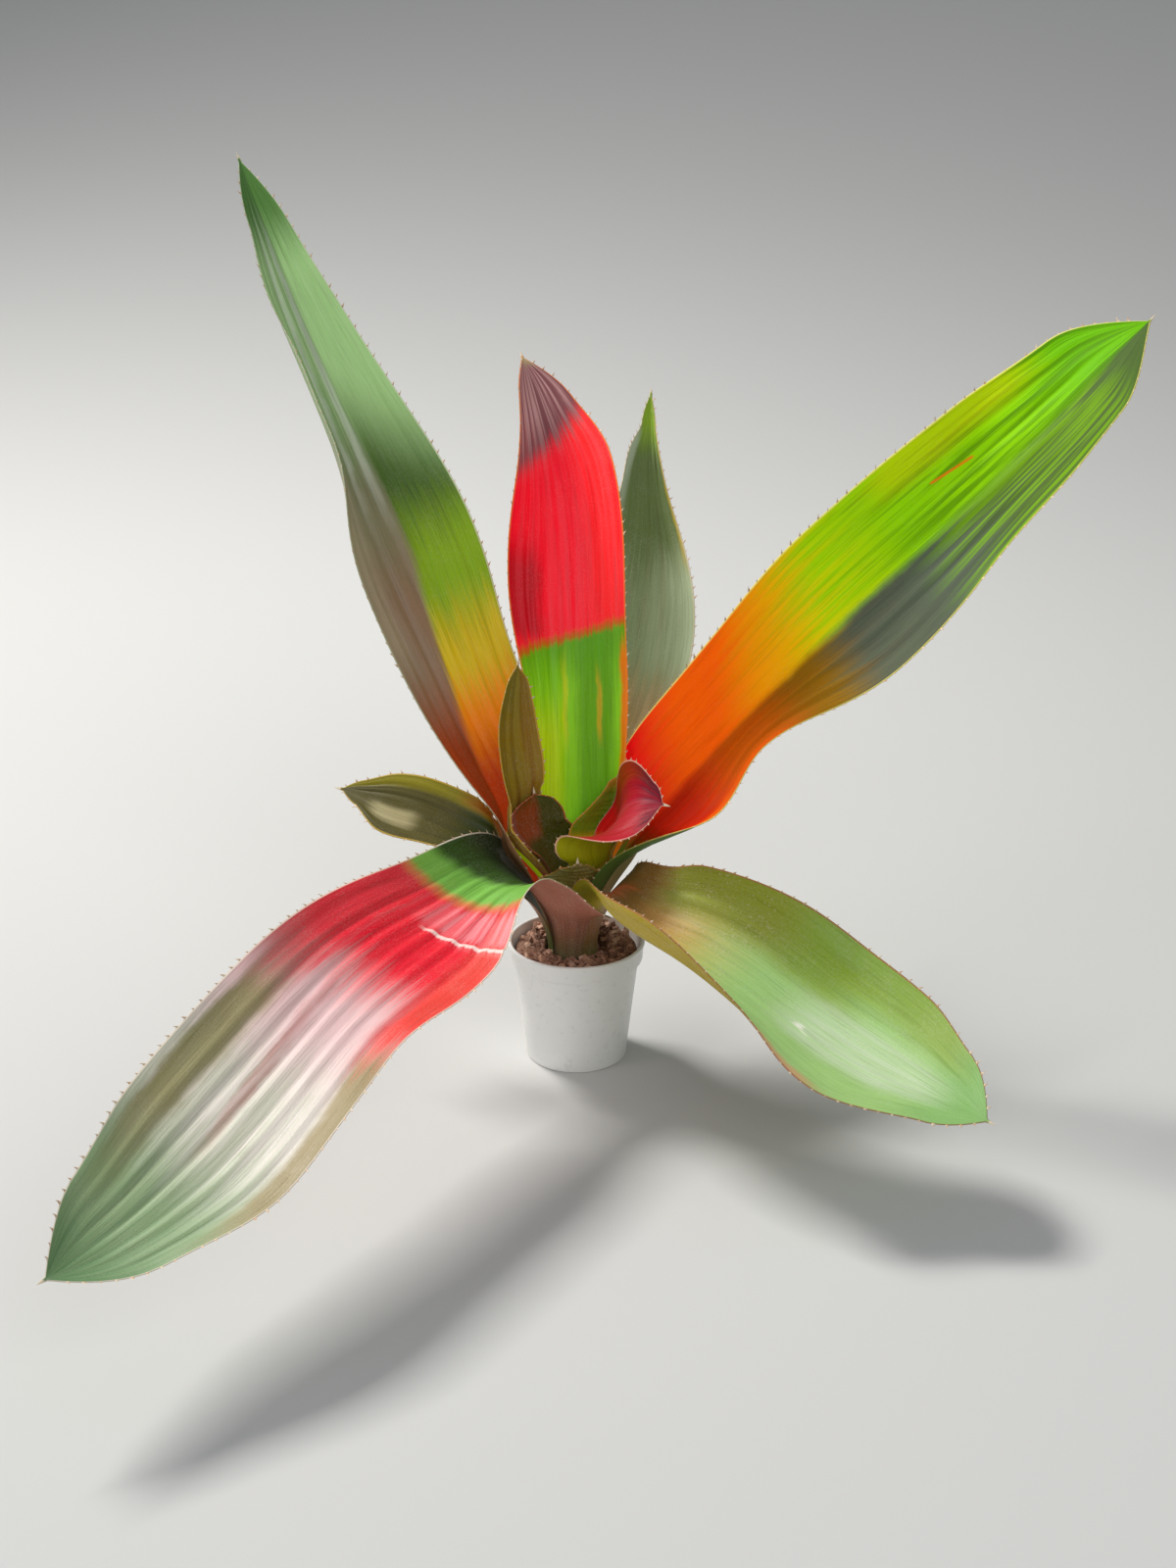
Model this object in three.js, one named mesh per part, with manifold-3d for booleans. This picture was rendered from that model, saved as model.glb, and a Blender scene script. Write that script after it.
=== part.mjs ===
// A neoregelia, a tank bromeliad, growing in bark in a small round plastic pot.
// Millimetres, +Z up, origin at the centre of the pot's foot; -Y is the plant's front.
import * as THREE from "three";
import { mergeVertices } from "three/addons/utils/BufferGeometryUtils.js";
import Module from "manifold-3d";

// ---------------------------------------------------------------- driving dimensions
const POT_RIM_R = 27.5; // outside of the rim, a 5.5 cm pot
const POT_HEIGHT = 50;
const POT_FOOT_R = 19.6;
const POT_WALL = 1.0;
const DRAIN_HOLES = 4;
const DRAIN_HOLE_R = 2.2;
const DRAIN_CIRCLE_R = 12;

const BARK_TOP = 46.5; // level of the bark at the front, the back is heaped higher
const BARK_HEAP = 5;
const BARK_LUMP = 1.1; // height of the lumps left by the chips
const STEM_HOLE_R = 13;
const STEM_HOLE_FLOOR = 38;
const GAP = 0.3; // between pieces that touch

const LEAF_THICK = 0.7;
const SHEATH_R = 10.6; // outermost sheath at the foot of the rosette
const SHEATH_PITCH = 1.25; // from one sheath to the next one inside it
const OUTER_LAYER = 11;
const SHEATH_FOOT = 41; // the outermost sheath starts here, the inner ones higher up the stem
const FLARE_FROM = 46; // the rosette widens above this height
const FLARE = 0.0085; // per mm, of the height above FLARE_FROM squared
const CLASP = 0.85; // a sheath's foot reaches this share of its full way round the stem
const SHEATH_LEAST_R = 2.6; // no sheath is rolled tighter than this, the innermost start higher up

const TOOTH_BASE = 2.2; // prickles on the leaf margins
const TOOTH_HEIGHT = 1.2;
const TIP_SPINE = 3.2;

// Each leaf, from the innermost to the outermost. The layer is its place in the nest of sheaths.
// azimuth: degrees about +Z from +X, of the middle of its sheath. wrap: half the arc of the sheath.
// top: height where the sheath turns into the blade. length: of the blade along its midrib.
// rise and swing: the midrib's slope and its turn from the azimuth, in degrees, at BLADE_STATIONS.
// left and right: half widths at BLADE_STATIONS, the last one where the tip starts to close.
// roll and cup: turn about the midrib and half the arc of the cross-section, at ROLL_STATIONS.
const BLADE_STATIONS = [0.12, 0.28, 0.5, 0.75, 1];
const TIP_STARTS = 0.9;
const TIP_BELLY = 0.55; // how full a tip's sides are, 0 for straight ones, where a leaf has no belly
const ROLL_STATIONS = [0.28, 0.6, 1];
const LEAVES = {
  leaf_inner_pink: {
    layer: 1, azimuth: 336, wrap: 78, top: 85, length: 43, lead: 3, opening: 14, rowStep: 5,
    rise: [84, 69, 55, 29, -7], swing: [2, -9, -8, 2, 4],
    left: [24, 24, 23, 16.5, 11.5], right: [22, 24, 23.5, 20, 8.5],
    roll: [2, 29, 48], cup: [58, 24, 22], colour: 0xd85a6a,
  },
  leaf_inner_green: {
    layer: 2, azimuth: 44, wrap: 60, top: 85, length: 30, lead: 3, opening: 14, rowStep: 6,
    rise: [73, 69, 70, 71, 72], swing: [0, 1, 2, 2, 1],
    left: [13.5, 12.5, 10, 6.5, 3.5], right: [13.5, 12.5, 8.5, 4.5, 3],
    roll: [12, 14, -1], cup: [56, 41, 45], colour: 0x6f8f1e,
  },
  leaf_inner_arched: {
    layer: 3, azimuth: 152, wrap: 60, top: 87, length: 22, lead: 3, opening: 14, rowStep: 6,
    rise: [65, 68, 85, 90, 84], swing: [-2, -9, -10, -10, -6],
    left: [15.5, 13, 12.5, 11, 8], right: [15.5, 12, 12.5, 13, 9],
    roll: [-23, -26, -26], cup: [48, 42, 38], colour: 0x8a4a26,
  },
  leaf_inner_left: {
    layer: 4, azimuth: 162, wrap: 60, top: 86, length: 78, lead: 6, opening: 20, rowStep: 5,
    rise: [72, 76, 82, 93, 102], swing: [0, -1, 0, -2, -1],
    left: [9.5, 10.5, 12.5, 10, 6.5], right: [9.5, 11.5, 12, 10.5, 7],
    roll: [-25, -25, -30], cup: [52, 48, 37], colour: 0x8a7a12,
  },
  leaf_inner_front: {
    layer: 4, azimuth: 272, wrap: 60, top: 76, length: 14, lead: 3, opening: 14, rowStep: 6,
    rise: [68, 70, 71, 75, 78], swing: [1, 1, 1, 1, 0],
    left: [15.5, 10.5, 8, 6, 3.5], right: [15.5, 9.5, 7, 5.5, 3.5],
    roll: [4, 1, 0], cup: [65, 56, 50], colour: 0x7d7a18,
  },
  leaf_centre_back: {
    layer: 5, azimuth: 100, wrap: 75, top: 85, length: 204.5, lead: 6, opening: 30, rowStep: 4,
    rise: [78, 72.5, 64.5, 53.5, 44.5], swing: [-4.5, -5.5, -7, 6.5, 14.5],
    left: [25.5, 26.5, 27, 26, 15.5], right: [25.5, 25.5, 30, 21, 17],
    roll: [18, 4.5, 27.5], cup: [63, 58.5, 58], colour: 0xd42a3a,
  },
  leaf_right: {
    layer: 6, azimuth: 11, wrap: 78, top: 75, length: 299, lead: 6, opening: 34, rowStep: 3,
    rise: [45, 47, 44, 44, 53], swing: [10, -9, -8, -3, -11.5],
    left: [35, 16.5, 36, 28, 34.5], right: [27, 30.5, 37, 34.5, 30.5],
    roll: [52, 44, 13], cup: [35, 39, 28], belly: 0.93, colour: 0x9bb81e,
  },
  leaf_back_right: {
    layer: 7, azimuth: 75, wrap: 70, top: 83, length: 214, lead: 6, opening: 30, rowStep: 4,
    rise: [59, 55, 44, 40, 38], swing: [-10, -10, 4, 14, 9],
    left: [13, 26, 22.5, 9, 3.5], right: [13, 24.5, 28, 20.5, 5.5],
    roll: [13, 23, 23], cup: [38, 52, 45], colour: 0x7f9a5c,
  },
  leaf_back_left: {
    layer: 8, azimuth: 139, wrap: 75, top: 77, length: 318, lead: 6, opening: 34, rowStep: 3,
    rise: [50.5, 56, 54.5, 55, 62], swing: [-1.5, -4.5, -4.5, -4, -5.5],
    left: [23, 25.5, 32.5, 20.5, 11.5], right: [24, 23.5, 34.5, 21.5, 8],
    roll: [-21.5, 6.5, -12.5], cup: [34, 58.5, 29], colour: 0x6c8a2e,
  },
  leaf_front_right: {
    layer: 9, azimuth: 318, wrap: 60, top: 69, length: 192, lead: 6, opening: 24, rowStep: 4,
    rise: [-1, -6.5, -23, -10, -8.5], swing: [-18, 3, 4.5, -1, 4],
    left: [22, 38, 37, 37.5, 16.5], right: [18, 29, 35, 33, 20.5],
    roll: [22, 12.5, 17.5], cup: [94, 50, 12], colour: 0x7f9648,
  },
  leaf_front_left: {
    layer: 10, azimuth: 214, wrap: 80, top: 71, length: 290, lead: 6, opening: 26, rowStep: 3,
    rise: [-2, 2.5, -10.5, -13.5, 3], swing: [17, 26, 30, 26.5, 24.5],
    left: [25.5, 30.5, 34.5, 32, 21], right: [20, 34.5, 31.5, 34.5, 21],
    roll: [-24.5, -19, -34.5], cup: [28, 29, 34.5], colour: 0xa9857a,
  },
  leaf_left: {
    layer: 11, azimuth: 177, wrap: 40, top: 79, length: 83, lead: 6, opening: 20, rowStep: 2,
    rise: [44, 23, 22, 8, 6], swing: [3, -9, -11, -11, -11],
    left: [10, 13, 13, 11, 5.5], right: [10, 11, 16, 17, 7],
    roll: [-30, -42, -33], cup: [32, 23, 27], colour: 0x6b6a2a,
  },
};

// ---------------------------------------------------------------- small mathematics
const rad = THREE.MathUtils.degToRad;
const clamp = THREE.MathUtils.clamp;
const smooth = (x) => THREE.MathUtils.smoothstep(x, 0, 1);

// A smooth curve through the values at the given stations.
function through(stations, values, t) {
  const n = stations.length;
  const slope = (i) => {
    const a = Math.max(0, i - 1), b = Math.min(n - 1, i + 1);
    return (values[b] - values[a]) / (stations[b] - stations[a]);
  };
  t = clamp(t, stations[0], stations[n - 1]);
  let i = 0;
  while (i < n - 2 && t >= stations[i + 1]) i++;
  const h = stations[i + 1] - stations[i], u = (t - stations[i]) / h;
  return (2 * u ** 3 - 3 * u ** 2 + 1) * values[i] + (u ** 3 - 2 * u ** 2 + u) * h * slope(i)
    + (3 * u ** 2 - 2 * u ** 3) * values[i + 1] + (u ** 3 - u ** 2) * h * slope(i + 1);
}

// ---------------------------------------------------------------- leaves
const ROWS = 61, SHEATH_ROWS = 10, COLUMNS = 19; // the fine grid that every leaf is figured on

const sheathRadius = (layer, z) => SHEATH_R - SHEATH_PITCH * (OUTER_LAYER - layer)
  + FLARE * Math.max(0, z - FLARE_FROM) ** 2;

function sheathFoot(layer) {
  const inside = OUTER_LAYER - layer;
  const short = SHEATH_LEAST_R - (SHEATH_R - SHEATH_PITCH * inside);
  return short > 0 ? FLARE_FROM + Math.sqrt(short / FLARE) : SHEATH_FOOT + SHEATH_PITCH * inside;
}

// The middle surface of a leaf as ROWS x COLUMNS points, from the foot of its sheath to its tip.
function leafSurface(leaf) {
  const azimuth = rad(leaf.azimuth), foot = sheathFoot(leaf.layer), wrap = rad(leaf.wrap);
  const slopeTop = Math.atan2(1, 2 * FLARE * Math.max(0, leaf.top - FLARE_FROM));
  const bladeRows = ROWS - SHEATH_ROWS;
  const stations = [0, ...BLADE_STATIONS], widths = [...stations.slice(0, -1), TIP_STARTS];
  const rTop = sheathRadius(leaf.layer, leaf.top);
  const at = new THREE.Vector3();
  const rows = [];
  let along = 0; // length of sheath below its top
  for (let i = SHEATH_ROWS - 1; i > 0; i--) {
    const z = (k) => foot + ((leaf.top - foot) * k) / (SHEATH_ROWS - 1);
    along += Math.hypot(z(i) - z(i - 1),
      sheathRadius(leaf.layer, z(i)) - sheathRadius(leaf.layer, z(i - 1)));
  }
  let behind = along;
  for (let i = 0; i < ROWS; i++) {
    let t, rise, heading;
    if (i < SHEATH_ROWS) {
      const z = foot + ((leaf.top - foot) * i) / (SHEATH_ROWS - 1);
      const r = sheathRadius(leaf.layer, z);
      const next = new THREE.Vector3(r * Math.cos(azimuth), r * Math.sin(azimuth), z);
      if (i > 0) behind -= next.distanceTo(at);
      at.copy(next);
      [t, rise, heading] = [-behind / leaf.length, slopeTop, azimuth];
    } else {
      t = (i - SHEATH_ROWS + 1) / bladeRows;
      rise = rad(through(stations, [THREE.MathUtils.radToDeg(slopeTop), ...leaf.rise], t));
      heading = azimuth + rad(through(stations, [0, ...leaf.swing], t));
      at.addScaledVector(new THREE.Vector3(Math.cos(rise) * Math.cos(heading),
        Math.cos(rise) * Math.sin(heading), Math.sin(rise)), leaf.length / bladeRows);
    }
    const blade = clamp(t, 0, 1), roll = rad(through([0, ...ROLL_STATIONS], [0, ...leaf.roll], blade));
    const across = new THREE.Vector3(-Math.sin(heading), Math.cos(heading), 0);
    const inward = new THREE.Vector3(-Math.sin(rise) * Math.cos(heading),
      -Math.sin(rise) * Math.sin(heading), Math.cos(rise));
    const b = across.clone().multiplyScalar(Math.cos(roll)).addScaledVector(inward, Math.sin(roll));
    const n = inward.clone().multiplyScalar(Math.cos(roll)).addScaledVector(across, -Math.sin(roll));
    const past = clamp((t - TIP_STARTS) / (1 - TIP_STARTS), 0, 1);
    const closing = (1 - past) * (1 + (leaf.belly ?? TIP_BELLY) * past);
    const half = [leaf.left, leaf.right].map((side) => Math.max(0.6,
      through(widths, [wrap * rTop, ...side], Math.min(blade, TIP_STARTS)) * closing));
    const mean = (half[0] + half[1]) / 2;
    const cup = rad(through([0, ...ROLL_STATIONS], [leaf.wrap, ...leaf.cup], blade));
    const grown = smooth((at.z - foot) / Math.max(6, leaf.top - foot));
    const free = smooth((t * leaf.length + leaf.lead) / leaf.opening);
    const radius = Math.hypot(at.x, at.y);
    rows.push(Array.from({ length: COLUMNS }, (_, j) => {
      const v = (2 * j) / (COLUMNS - 1) - 1;
      const arc = (v * cup * half[v < 0 ? 0 : 1]) / mean;
      const open = at.clone().addScaledVector(b, (mean / cup) * Math.sin(arc))
        .addScaledVector(n, (mean / cup) * (1 - Math.cos(arc)));
      const turn = azimuth + v * wrap * (CLASP + (1 - CLASP) * grown);
      const closed = new THREE.Vector3(radius * Math.cos(turn), radius * Math.sin(turn), at.z);
      return closed.lerp(open, free);
    }));
  }
  return rows;
}

// Outer leaves are pressed outwards by the inner ones. The inner leaves' furthest radius is kept by
// azimuth and height, and every point of the next leaf out stands clear of it.
const SECTORS = 120, LEVELS = 62, LEVEL_FROM = 46, LEVEL_STEP = 2, PRESS_REACH = 42;
const DENT_PASSES = 14;
const pressGap = (z) => 1 + 0.5 * smooth((z - 58) / 16);
const furthest = Array.from({ length: SECTORS }, () => new Array(LEVELS).fill(0));

function cell(p) {
  const sector = Math.floor((Math.atan2(p.y, p.x) / (2 * Math.PI)) * SECTORS + SECTORS) % SECTORS;
  return [sector, Math.floor((p.z - LEVEL_FROM) / LEVEL_STEP), Math.hypot(p.x, p.y)];
}

function press(rows) {
  let push = rows.map((row) => row.map((p) => {
    const [sector, level, r] = cell(p);
    const inside = level >= 0 && level < LEVELS && r < PRESS_REACH && furthest[sector][level] > 0;
    return inside ? Math.max(0, furthest[sector][level] + pressGap(p.z) - r) : 0;
  }));
  for (let k = 0; k < DENT_PASSES; k++) { // spread each dent smoothly over its neighbours
    const get = (i, j) => push[clamp(i, 0, ROWS - 1)][clamp(j, 0, COLUMNS - 1)];
    push = push.map((row, i) => row.map((d, j) => Math.max(d,
      (get(i - 1, j) + get(i + 1, j) + get(i, j - 1) + get(i, j + 1) + 4 * d) / 8)));
  }
  rows.forEach((row, i) => row.forEach((p, j) => {
    const k = 1 + push[i][j] / Math.max(Math.hypot(p.x, p.y), 1e-6);
    p.set(p.x * k, p.y * k, p.z);
  }));
  const p = new THREE.Vector3(), q = new THREE.Vector3(), s = new THREE.Vector3();
  for (let i = 0; i < ROWS - 1; i++) for (let j = 0; j < COLUMNS - 1; j++)
    for (let a = 0; a < 5; a++) for (let c = 0; c < 5; c++) {
      p.lerpVectors(rows[i][j], rows[i + 1][j], a / 4);
      q.lerpVectors(rows[i][j + 1], rows[i + 1][j + 1], a / 4);
      const [sector, level, r] = cell(s.lerpVectors(p, q, c / 4));
      if (r >= PRESS_REACH || level < 0 || level >= LEVELS) continue;
      for (let ds = -1; ds <= 1; ds++) for (let dl = -1; dl <= 1; dl++) {
        const column = furthest[(sector + ds + SECTORS) % SECTORS];
        const k = clamp(level + dl, 0, LEVELS - 1);
        column[k] = Math.max(column[k], r);
      }
    }
}

// A closed blade round the middle surface, with a prickle on each stretch of margin and a tip spine.
function leafSolid(rows, leaf, thick = LEAF_THICK) {
  const every = leaf.rowStep, picks = [];
  for (let i = 0; i < ROWS - 4; i += every) picks.push(i);
  picks.push(ROWS - 3, ROWS - 1); // a short last stretch runs out to the tip
  const columns = [0, 3, 6, 9, 12, 15, 18]; // of the fine grid, the middle one is the midrib
  const normal = (i, j) => {
    const du = rows[Math.min(i + 1, ROWS - 1)][j].clone().sub(rows[Math.max(i - 1, 0)][j]);
    const dv = rows[i][Math.min(j + 1, COLUMNS - 1)].clone().sub(rows[i][Math.max(j - 1, 0)]);
    return du.cross(dv).normalize();
  };
  const points = [], triangles = [];
  const add = (p) => points.push(p) - 1;
  const pair = (p, n) => [1, -1].map((side) => add(p.clone().addScaledVector(n, (side * thick) / 2)));
  const grid = picks.map((i) => columns.map((j) => pair(rows[i][j], normal(i, j))));
  const face = (...loop) => { // the same triangles on both faces, wound outwards on each
    const [a, b, c] = loop;
    triangles.push([a[0], b[0], c[0]], [a[1], c[1], b[1]]);
  };
  const wall = (a, b) => triangles.push([a[0], a[1], b[1]], [a[0], b[1], b[0]]);
  const spike = (a, b, apex) => triangles.push([a[0], a[1], apex], [a[1], b[1], apex],
    [b[1], b[0], apex], [b[0], a[0], apex]);
  const last = columns.length - 1;
  for (let i = 0; i < picks.length - 1; i++) {
    const onBlade = picks[i] > SHEATH_ROWS + 1;
    for (let j = 0; j < last; j++) {
      const [p, q, r, s] = [grid[i][j], grid[i + 1][j], grid[i + 1][j + 1], grid[i][j + 1]];
      const margin = onBlade && (j === 0 || j === last - 1);
      if (!margin) {
        face(p, q, r);
        face(p, r, s);
        continue;
      }
      // The edge from `from` to `to` carries the prickle; `rear` and `fore` are the inner corners.
      const leftSide = j === 0, c = leftSide ? 0 : COLUMNS - 1;
      const middle = Math.round((picks[i] + picks[i + 1]) / 2);
      const [from, to] = [rows[picks[i]][c], rows[picks[i + 1]][c]];
      const share = Math.min(0.3, TOOTH_BASE / 2 / from.distanceTo(to));
      const inner = rows[middle][leftSide ? 1 : c - 1];
      const tooth = [0.5 - share, 0.5 + share].map((u) =>
        pair(from.clone().lerp(to, u), normal(middle, c)));
      const out = rows[middle][c].clone().sub(inner).normalize();
      const forward = to.clone().sub(from).normalize();
      const apex = add(from.clone().lerp(to, 0.5 + share * 0.9)
        .addScaledVector(out, TOOTH_HEIGHT).addScaledVector(forward, 0.3));
      const [a, b] = leftSide ? [p, q] : [s, r];
      const [rear, fore] = leftSide ? [s, r] : [p, q];
      const turn = leftSide ? (x, y, z) => face(x, y, z) : (x, y, z) => face(x, z, y);
      turn(rear, a, tooth[0]);
      turn(rear, tooth[0], tooth[1]);
      turn(rear, tooth[1], fore);
      turn(fore, tooth[1], b);
      const edge = leftSide ? [a, tooth[0], tooth[1], b] : [b, tooth[1], tooth[0], a];
      wall(edge[0], edge[1]);
      spike(edge[1], edge[2], apex);
      wall(edge[2], edge[3]);
    }
    if (!onBlade) {
      wall(grid[i][0], grid[i + 1][0]);
      wall(grid[i + 1][last], grid[i][last]);
    }
  }
  for (let j = 0; j < last; j++) wall(grid[0][j + 1], grid[0][j]);
  const end = picks.length - 1, midrib = (COLUMNS - 1) / 2;
  const [before, tipEnd] = [rows[ROWS - 3][midrib], rows[ROWS - 1][midrib]];
  const tip = tipEnd.clone().add(tipEnd.clone().sub(before).setLength(TIP_SPINE));
  const apex = add(tip);
  const ring = [...grid[end].map((g) => g[1]).reverse(), ...grid[end].map((g) => g[0])];
  for (let k = 0; k < ring.length; k++) triangles.push([ring[k], apex, ring[(k + 1) % ring.length]]);
  const geometry = new THREE.BufferGeometry();
  geometry.setAttribute("position", new THREE.Float32BufferAttribute(
    points.flatMap((p) => [p.x, p.y, p.z]), 3));
  geometry.setIndex(triangles.flat());
  return geometry;
}

// ---------------------------------------------------------------- cutting and joining
const wasm = await Module();
wasm.setup();

function toSolid(geometry) {
  const g = geometry.clone();
  g.deleteAttribute("normal");
  g.deleteAttribute("uv");
  const merged = mergeVertices(g, 1e-4);
  return new wasm.Manifold(new wasm.Mesh({
    numProp: 3,
    vertProperties: new Float32Array(merged.attributes.position.array),
    triVerts: new Uint32Array(merged.index.array),
  }));
}

function fromSolid(solid) {
  const mesh = solid.getMesh();
  const geometry = new THREE.BufferGeometry();
  geometry.setAttribute("position", new THREE.BufferAttribute(new Float32Array(mesh.vertProperties), 3));
  geometry.setIndex(new THREE.BufferAttribute(new Uint32Array(mesh.triVerts), 1));
  return geometry;
}

const lathe = (profile, segments) => new THREE.LatheGeometry(
  profile.map(([r, z]) => new THREE.Vector2(r, z)), segments).rotateX(Math.PI / 2);

function cylinder(r, z0, z1, segments, x = 0, y = 0) {
  return new THREE.CylinderGeometry(r, r, z1 - z0, segments).rotateX(Math.PI / 2)
    .translate(x, y, (z0 + z1) / 2);
}

// ---------------------------------------------------------------- pot
function pot() {
  const floor = 1.4, step = POT_HEIGHT - 8; // the rim band starts at the step in the wall
  let body = toSolid(lathe([
    [0, 0], [POT_FOOT_R, 0], [POT_FOOT_R + 0.8, 0.8], [25, step - 0.6], [26.5, step + 0.4],
    [27.1, POT_HEIGHT - 1.4], [POT_RIM_R, POT_HEIGHT - 1], [POT_RIM_R - 0.2, POT_HEIGHT - 0.1],
    [POT_RIM_R - 1, POT_HEIGHT], [25.9, POT_HEIGHT - 0.7], [25.3, step + 1.4],
    [25 - POT_WALL, step - 0.4], [POT_FOOT_R + 0.8 - POT_WALL, floor + 0.6],
    [POT_FOOT_R - 1, floor], [0, floor],
  ], 40));
  for (let k = 0; k < DRAIN_HOLES; k++) {
    const a = rad(45 + (360 / DRAIN_HOLES) * k);
    body = body.subtract(toSolid(cylinder(DRAIN_HOLE_R, -1, floor + 1, 16,
      DRAIN_CIRCLE_R * Math.cos(a), DRAIN_CIRCLE_R * Math.sin(a))));
  }
  return fromSolid(body);
}

// ---------------------------------------------------------------- bark in the pot
function bark() {
  const wallR = (z) => THREE.MathUtils.mapLinear(z, 1.8, POT_HEIGHT - 8.4, POT_FOOT_R - 0.6, 24) - 0.8;
  const body = lathe([
    [0, 1.8], [wallR(1.8), 1.8], [wallR(20), 20], [wallR(40), 40], [24.2, BARK_TOP - 2.5],
    [24.4, BARK_TOP - 0.8], [22.6, BARK_TOP], [20, BARK_TOP], [17.4, BARK_TOP],
    [15.8, BARK_TOP], [13.8, BARK_TOP], [0, BARK_TOP],
  ], 40);
  const p = body.attributes.position;
  for (let i = 0; i < p.count; i++) {
    const [x, y, z] = [p.getX(i), p.getY(i), p.getZ(i)];
    const r = Math.hypot(x, y);
    if (z < BARK_TOP - 0.1 || r < 1) continue;
    const heap = BARK_HEAP * smooth((y + 6) / 26) * smooth((25 - r) / 8);
    const lumps = Math.sin(0.9 * x + 0.4 * y) * Math.sin(0.8 * y - 0.5 * x + 1)
      + 0.6 * Math.sin(1.7 * x + 0.3) * Math.cos(1.5 * y);
    p.setZ(i, z + heap + BARK_LUMP * lumps * 0.8);
  }
  return fromSolid(toSolid(body).subtract(
    toSolid(cylinder(STEM_HOLE_R, STEM_HOLE_FLOOR, BARK_TOP + 20, 36))));
}

// ---------------------------------------------------------------- the plant's short stem
function stem() {
  return lathe([
    [0, STEM_HOLE_FLOOR + GAP], [10.8, STEM_HOLE_FLOOR + GAP], [10.8, SHEATH_FOOT - 1],
    [1.9, 48.6], [1.5, 53], [1.3, 66], [0, 66],
  ], 24);
}

// ---------------------------------------------------------------- assembly
const plant = new THREE.Group();

function addPiece(name, geometry, colour, roughness) {
  const flat = geometry.index ? geometry.toNonIndexed() : geometry;
  flat.deleteAttribute("normal");
  flat.computeVertexNormals();
  const mesh = new THREE.Mesh(flat, new THREE.MeshStandardMaterial({
    color: colour, roughness, metalness: 0, side: THREE.DoubleSide,
  }));
  mesh.name = name;
  plant.add(mesh);
}

addPiece("pot", pot(), 0xe9e9e6, 0.35);
addPiece("potting_bark", bark(), 0x7a5a4c, 0.9);
addPiece("stem", stem(), 0x7d7a52, 0.7);
const inner = [];
for (const [name, leaf] of Object.entries(LEAVES)) {
  const rows = leafSurface(leaf);
  press(rows);
  let solid = toSolid(leafSolid(rows, leaf));
  for (const other of inner) { // where a margin would still run through an inner leaf, it is cut clear
    if (solid.intersect(other.solid).volume() < 0.001) continue;
    solid = solid.subtract(other.swollen).decompose().sort((a, b) => b.volume() - a.volume())[0];
  }
  inner.push({ solid, swollen: toSolid(leafSolid(rows, leaf, LEAF_THICK + 2 * GAP)) });
  addPiece(name, fromSolid(solid), leaf.colour, 0.42);
}

export default plant;
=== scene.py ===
"""A neoregelia, a tank bromeliad, in a small white pot: its looks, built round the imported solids.

The script follows the plant as it is potted: camera and studio, the pot, the bark, the stem, and then
the leaves from the innermost to the outermost. Lengths are in millimetres until a mesh is made.
"""

import math

import bpy
import numpy as np
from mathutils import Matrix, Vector


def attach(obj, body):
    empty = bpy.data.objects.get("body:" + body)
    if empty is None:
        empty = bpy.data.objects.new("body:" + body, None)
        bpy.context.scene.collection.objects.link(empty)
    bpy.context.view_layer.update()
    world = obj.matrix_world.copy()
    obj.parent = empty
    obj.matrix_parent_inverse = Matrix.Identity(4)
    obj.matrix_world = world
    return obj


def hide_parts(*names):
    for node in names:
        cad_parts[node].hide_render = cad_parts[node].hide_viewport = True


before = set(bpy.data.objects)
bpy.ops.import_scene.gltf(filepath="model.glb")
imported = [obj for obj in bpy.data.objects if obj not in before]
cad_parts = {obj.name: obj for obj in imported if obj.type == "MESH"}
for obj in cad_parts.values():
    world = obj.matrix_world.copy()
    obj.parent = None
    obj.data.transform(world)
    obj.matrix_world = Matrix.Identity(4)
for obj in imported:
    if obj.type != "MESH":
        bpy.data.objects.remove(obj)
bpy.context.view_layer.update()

# ------------ camera and studio
# A lens at arm's length looks 21 degrees down on the plant, over a seamless pale sweep. One broad
# soft light hangs high at the back left, two weaker ones fill the shadows from the front.
MM = 0.001
LENS_PLACE, LENS_DOWN, LENS_FOCUS, FILM_WIDTH = (0.0047, -0.825, 0.433), 21, 52, 36
SWEEP_HALF, SWEEP_FRONT, SWEEP_BACK, SWEEP_BEND, SWEEP_TOP = 6000, -4000, 900, 4200, 7000
SWEEP_SHADE, SKY, SKY_STRENGTH = (0.6, 0.6, 0.59, 1), (0.92, 0.95, 1, 1), 0.28
HEART = Vector((0, 0, 0.15))

scene = bpy.context.scene
scene.view_settings.view_transform = "Standard"

camera = bpy.data.objects.new("camera", bpy.data.cameras.new("camera"))
scene.collection.objects.link(camera)
scene.camera = camera
camera.data.lens, camera.data.sensor_width, camera.data.clip_start = LENS_FOCUS, FILM_WIDTH, 0.02
camera.location = LENS_PLACE
camera.rotation_euler = (math.radians(90 - LENS_DOWN), 0, 0)


def mesh_object(name, points, faces=(), edges=()):
    """A smooth mesh object at the origin, from points in millimetres."""
    mesh = bpy.data.meshes.new(name)
    mesh.from_pydata((np.asarray(points, float) * MM).tolist(), edges, faces, shade_flat=False)
    made = bpy.data.objects.new(name, mesh)
    scene.collection.objects.link(made)
    return made


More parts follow.
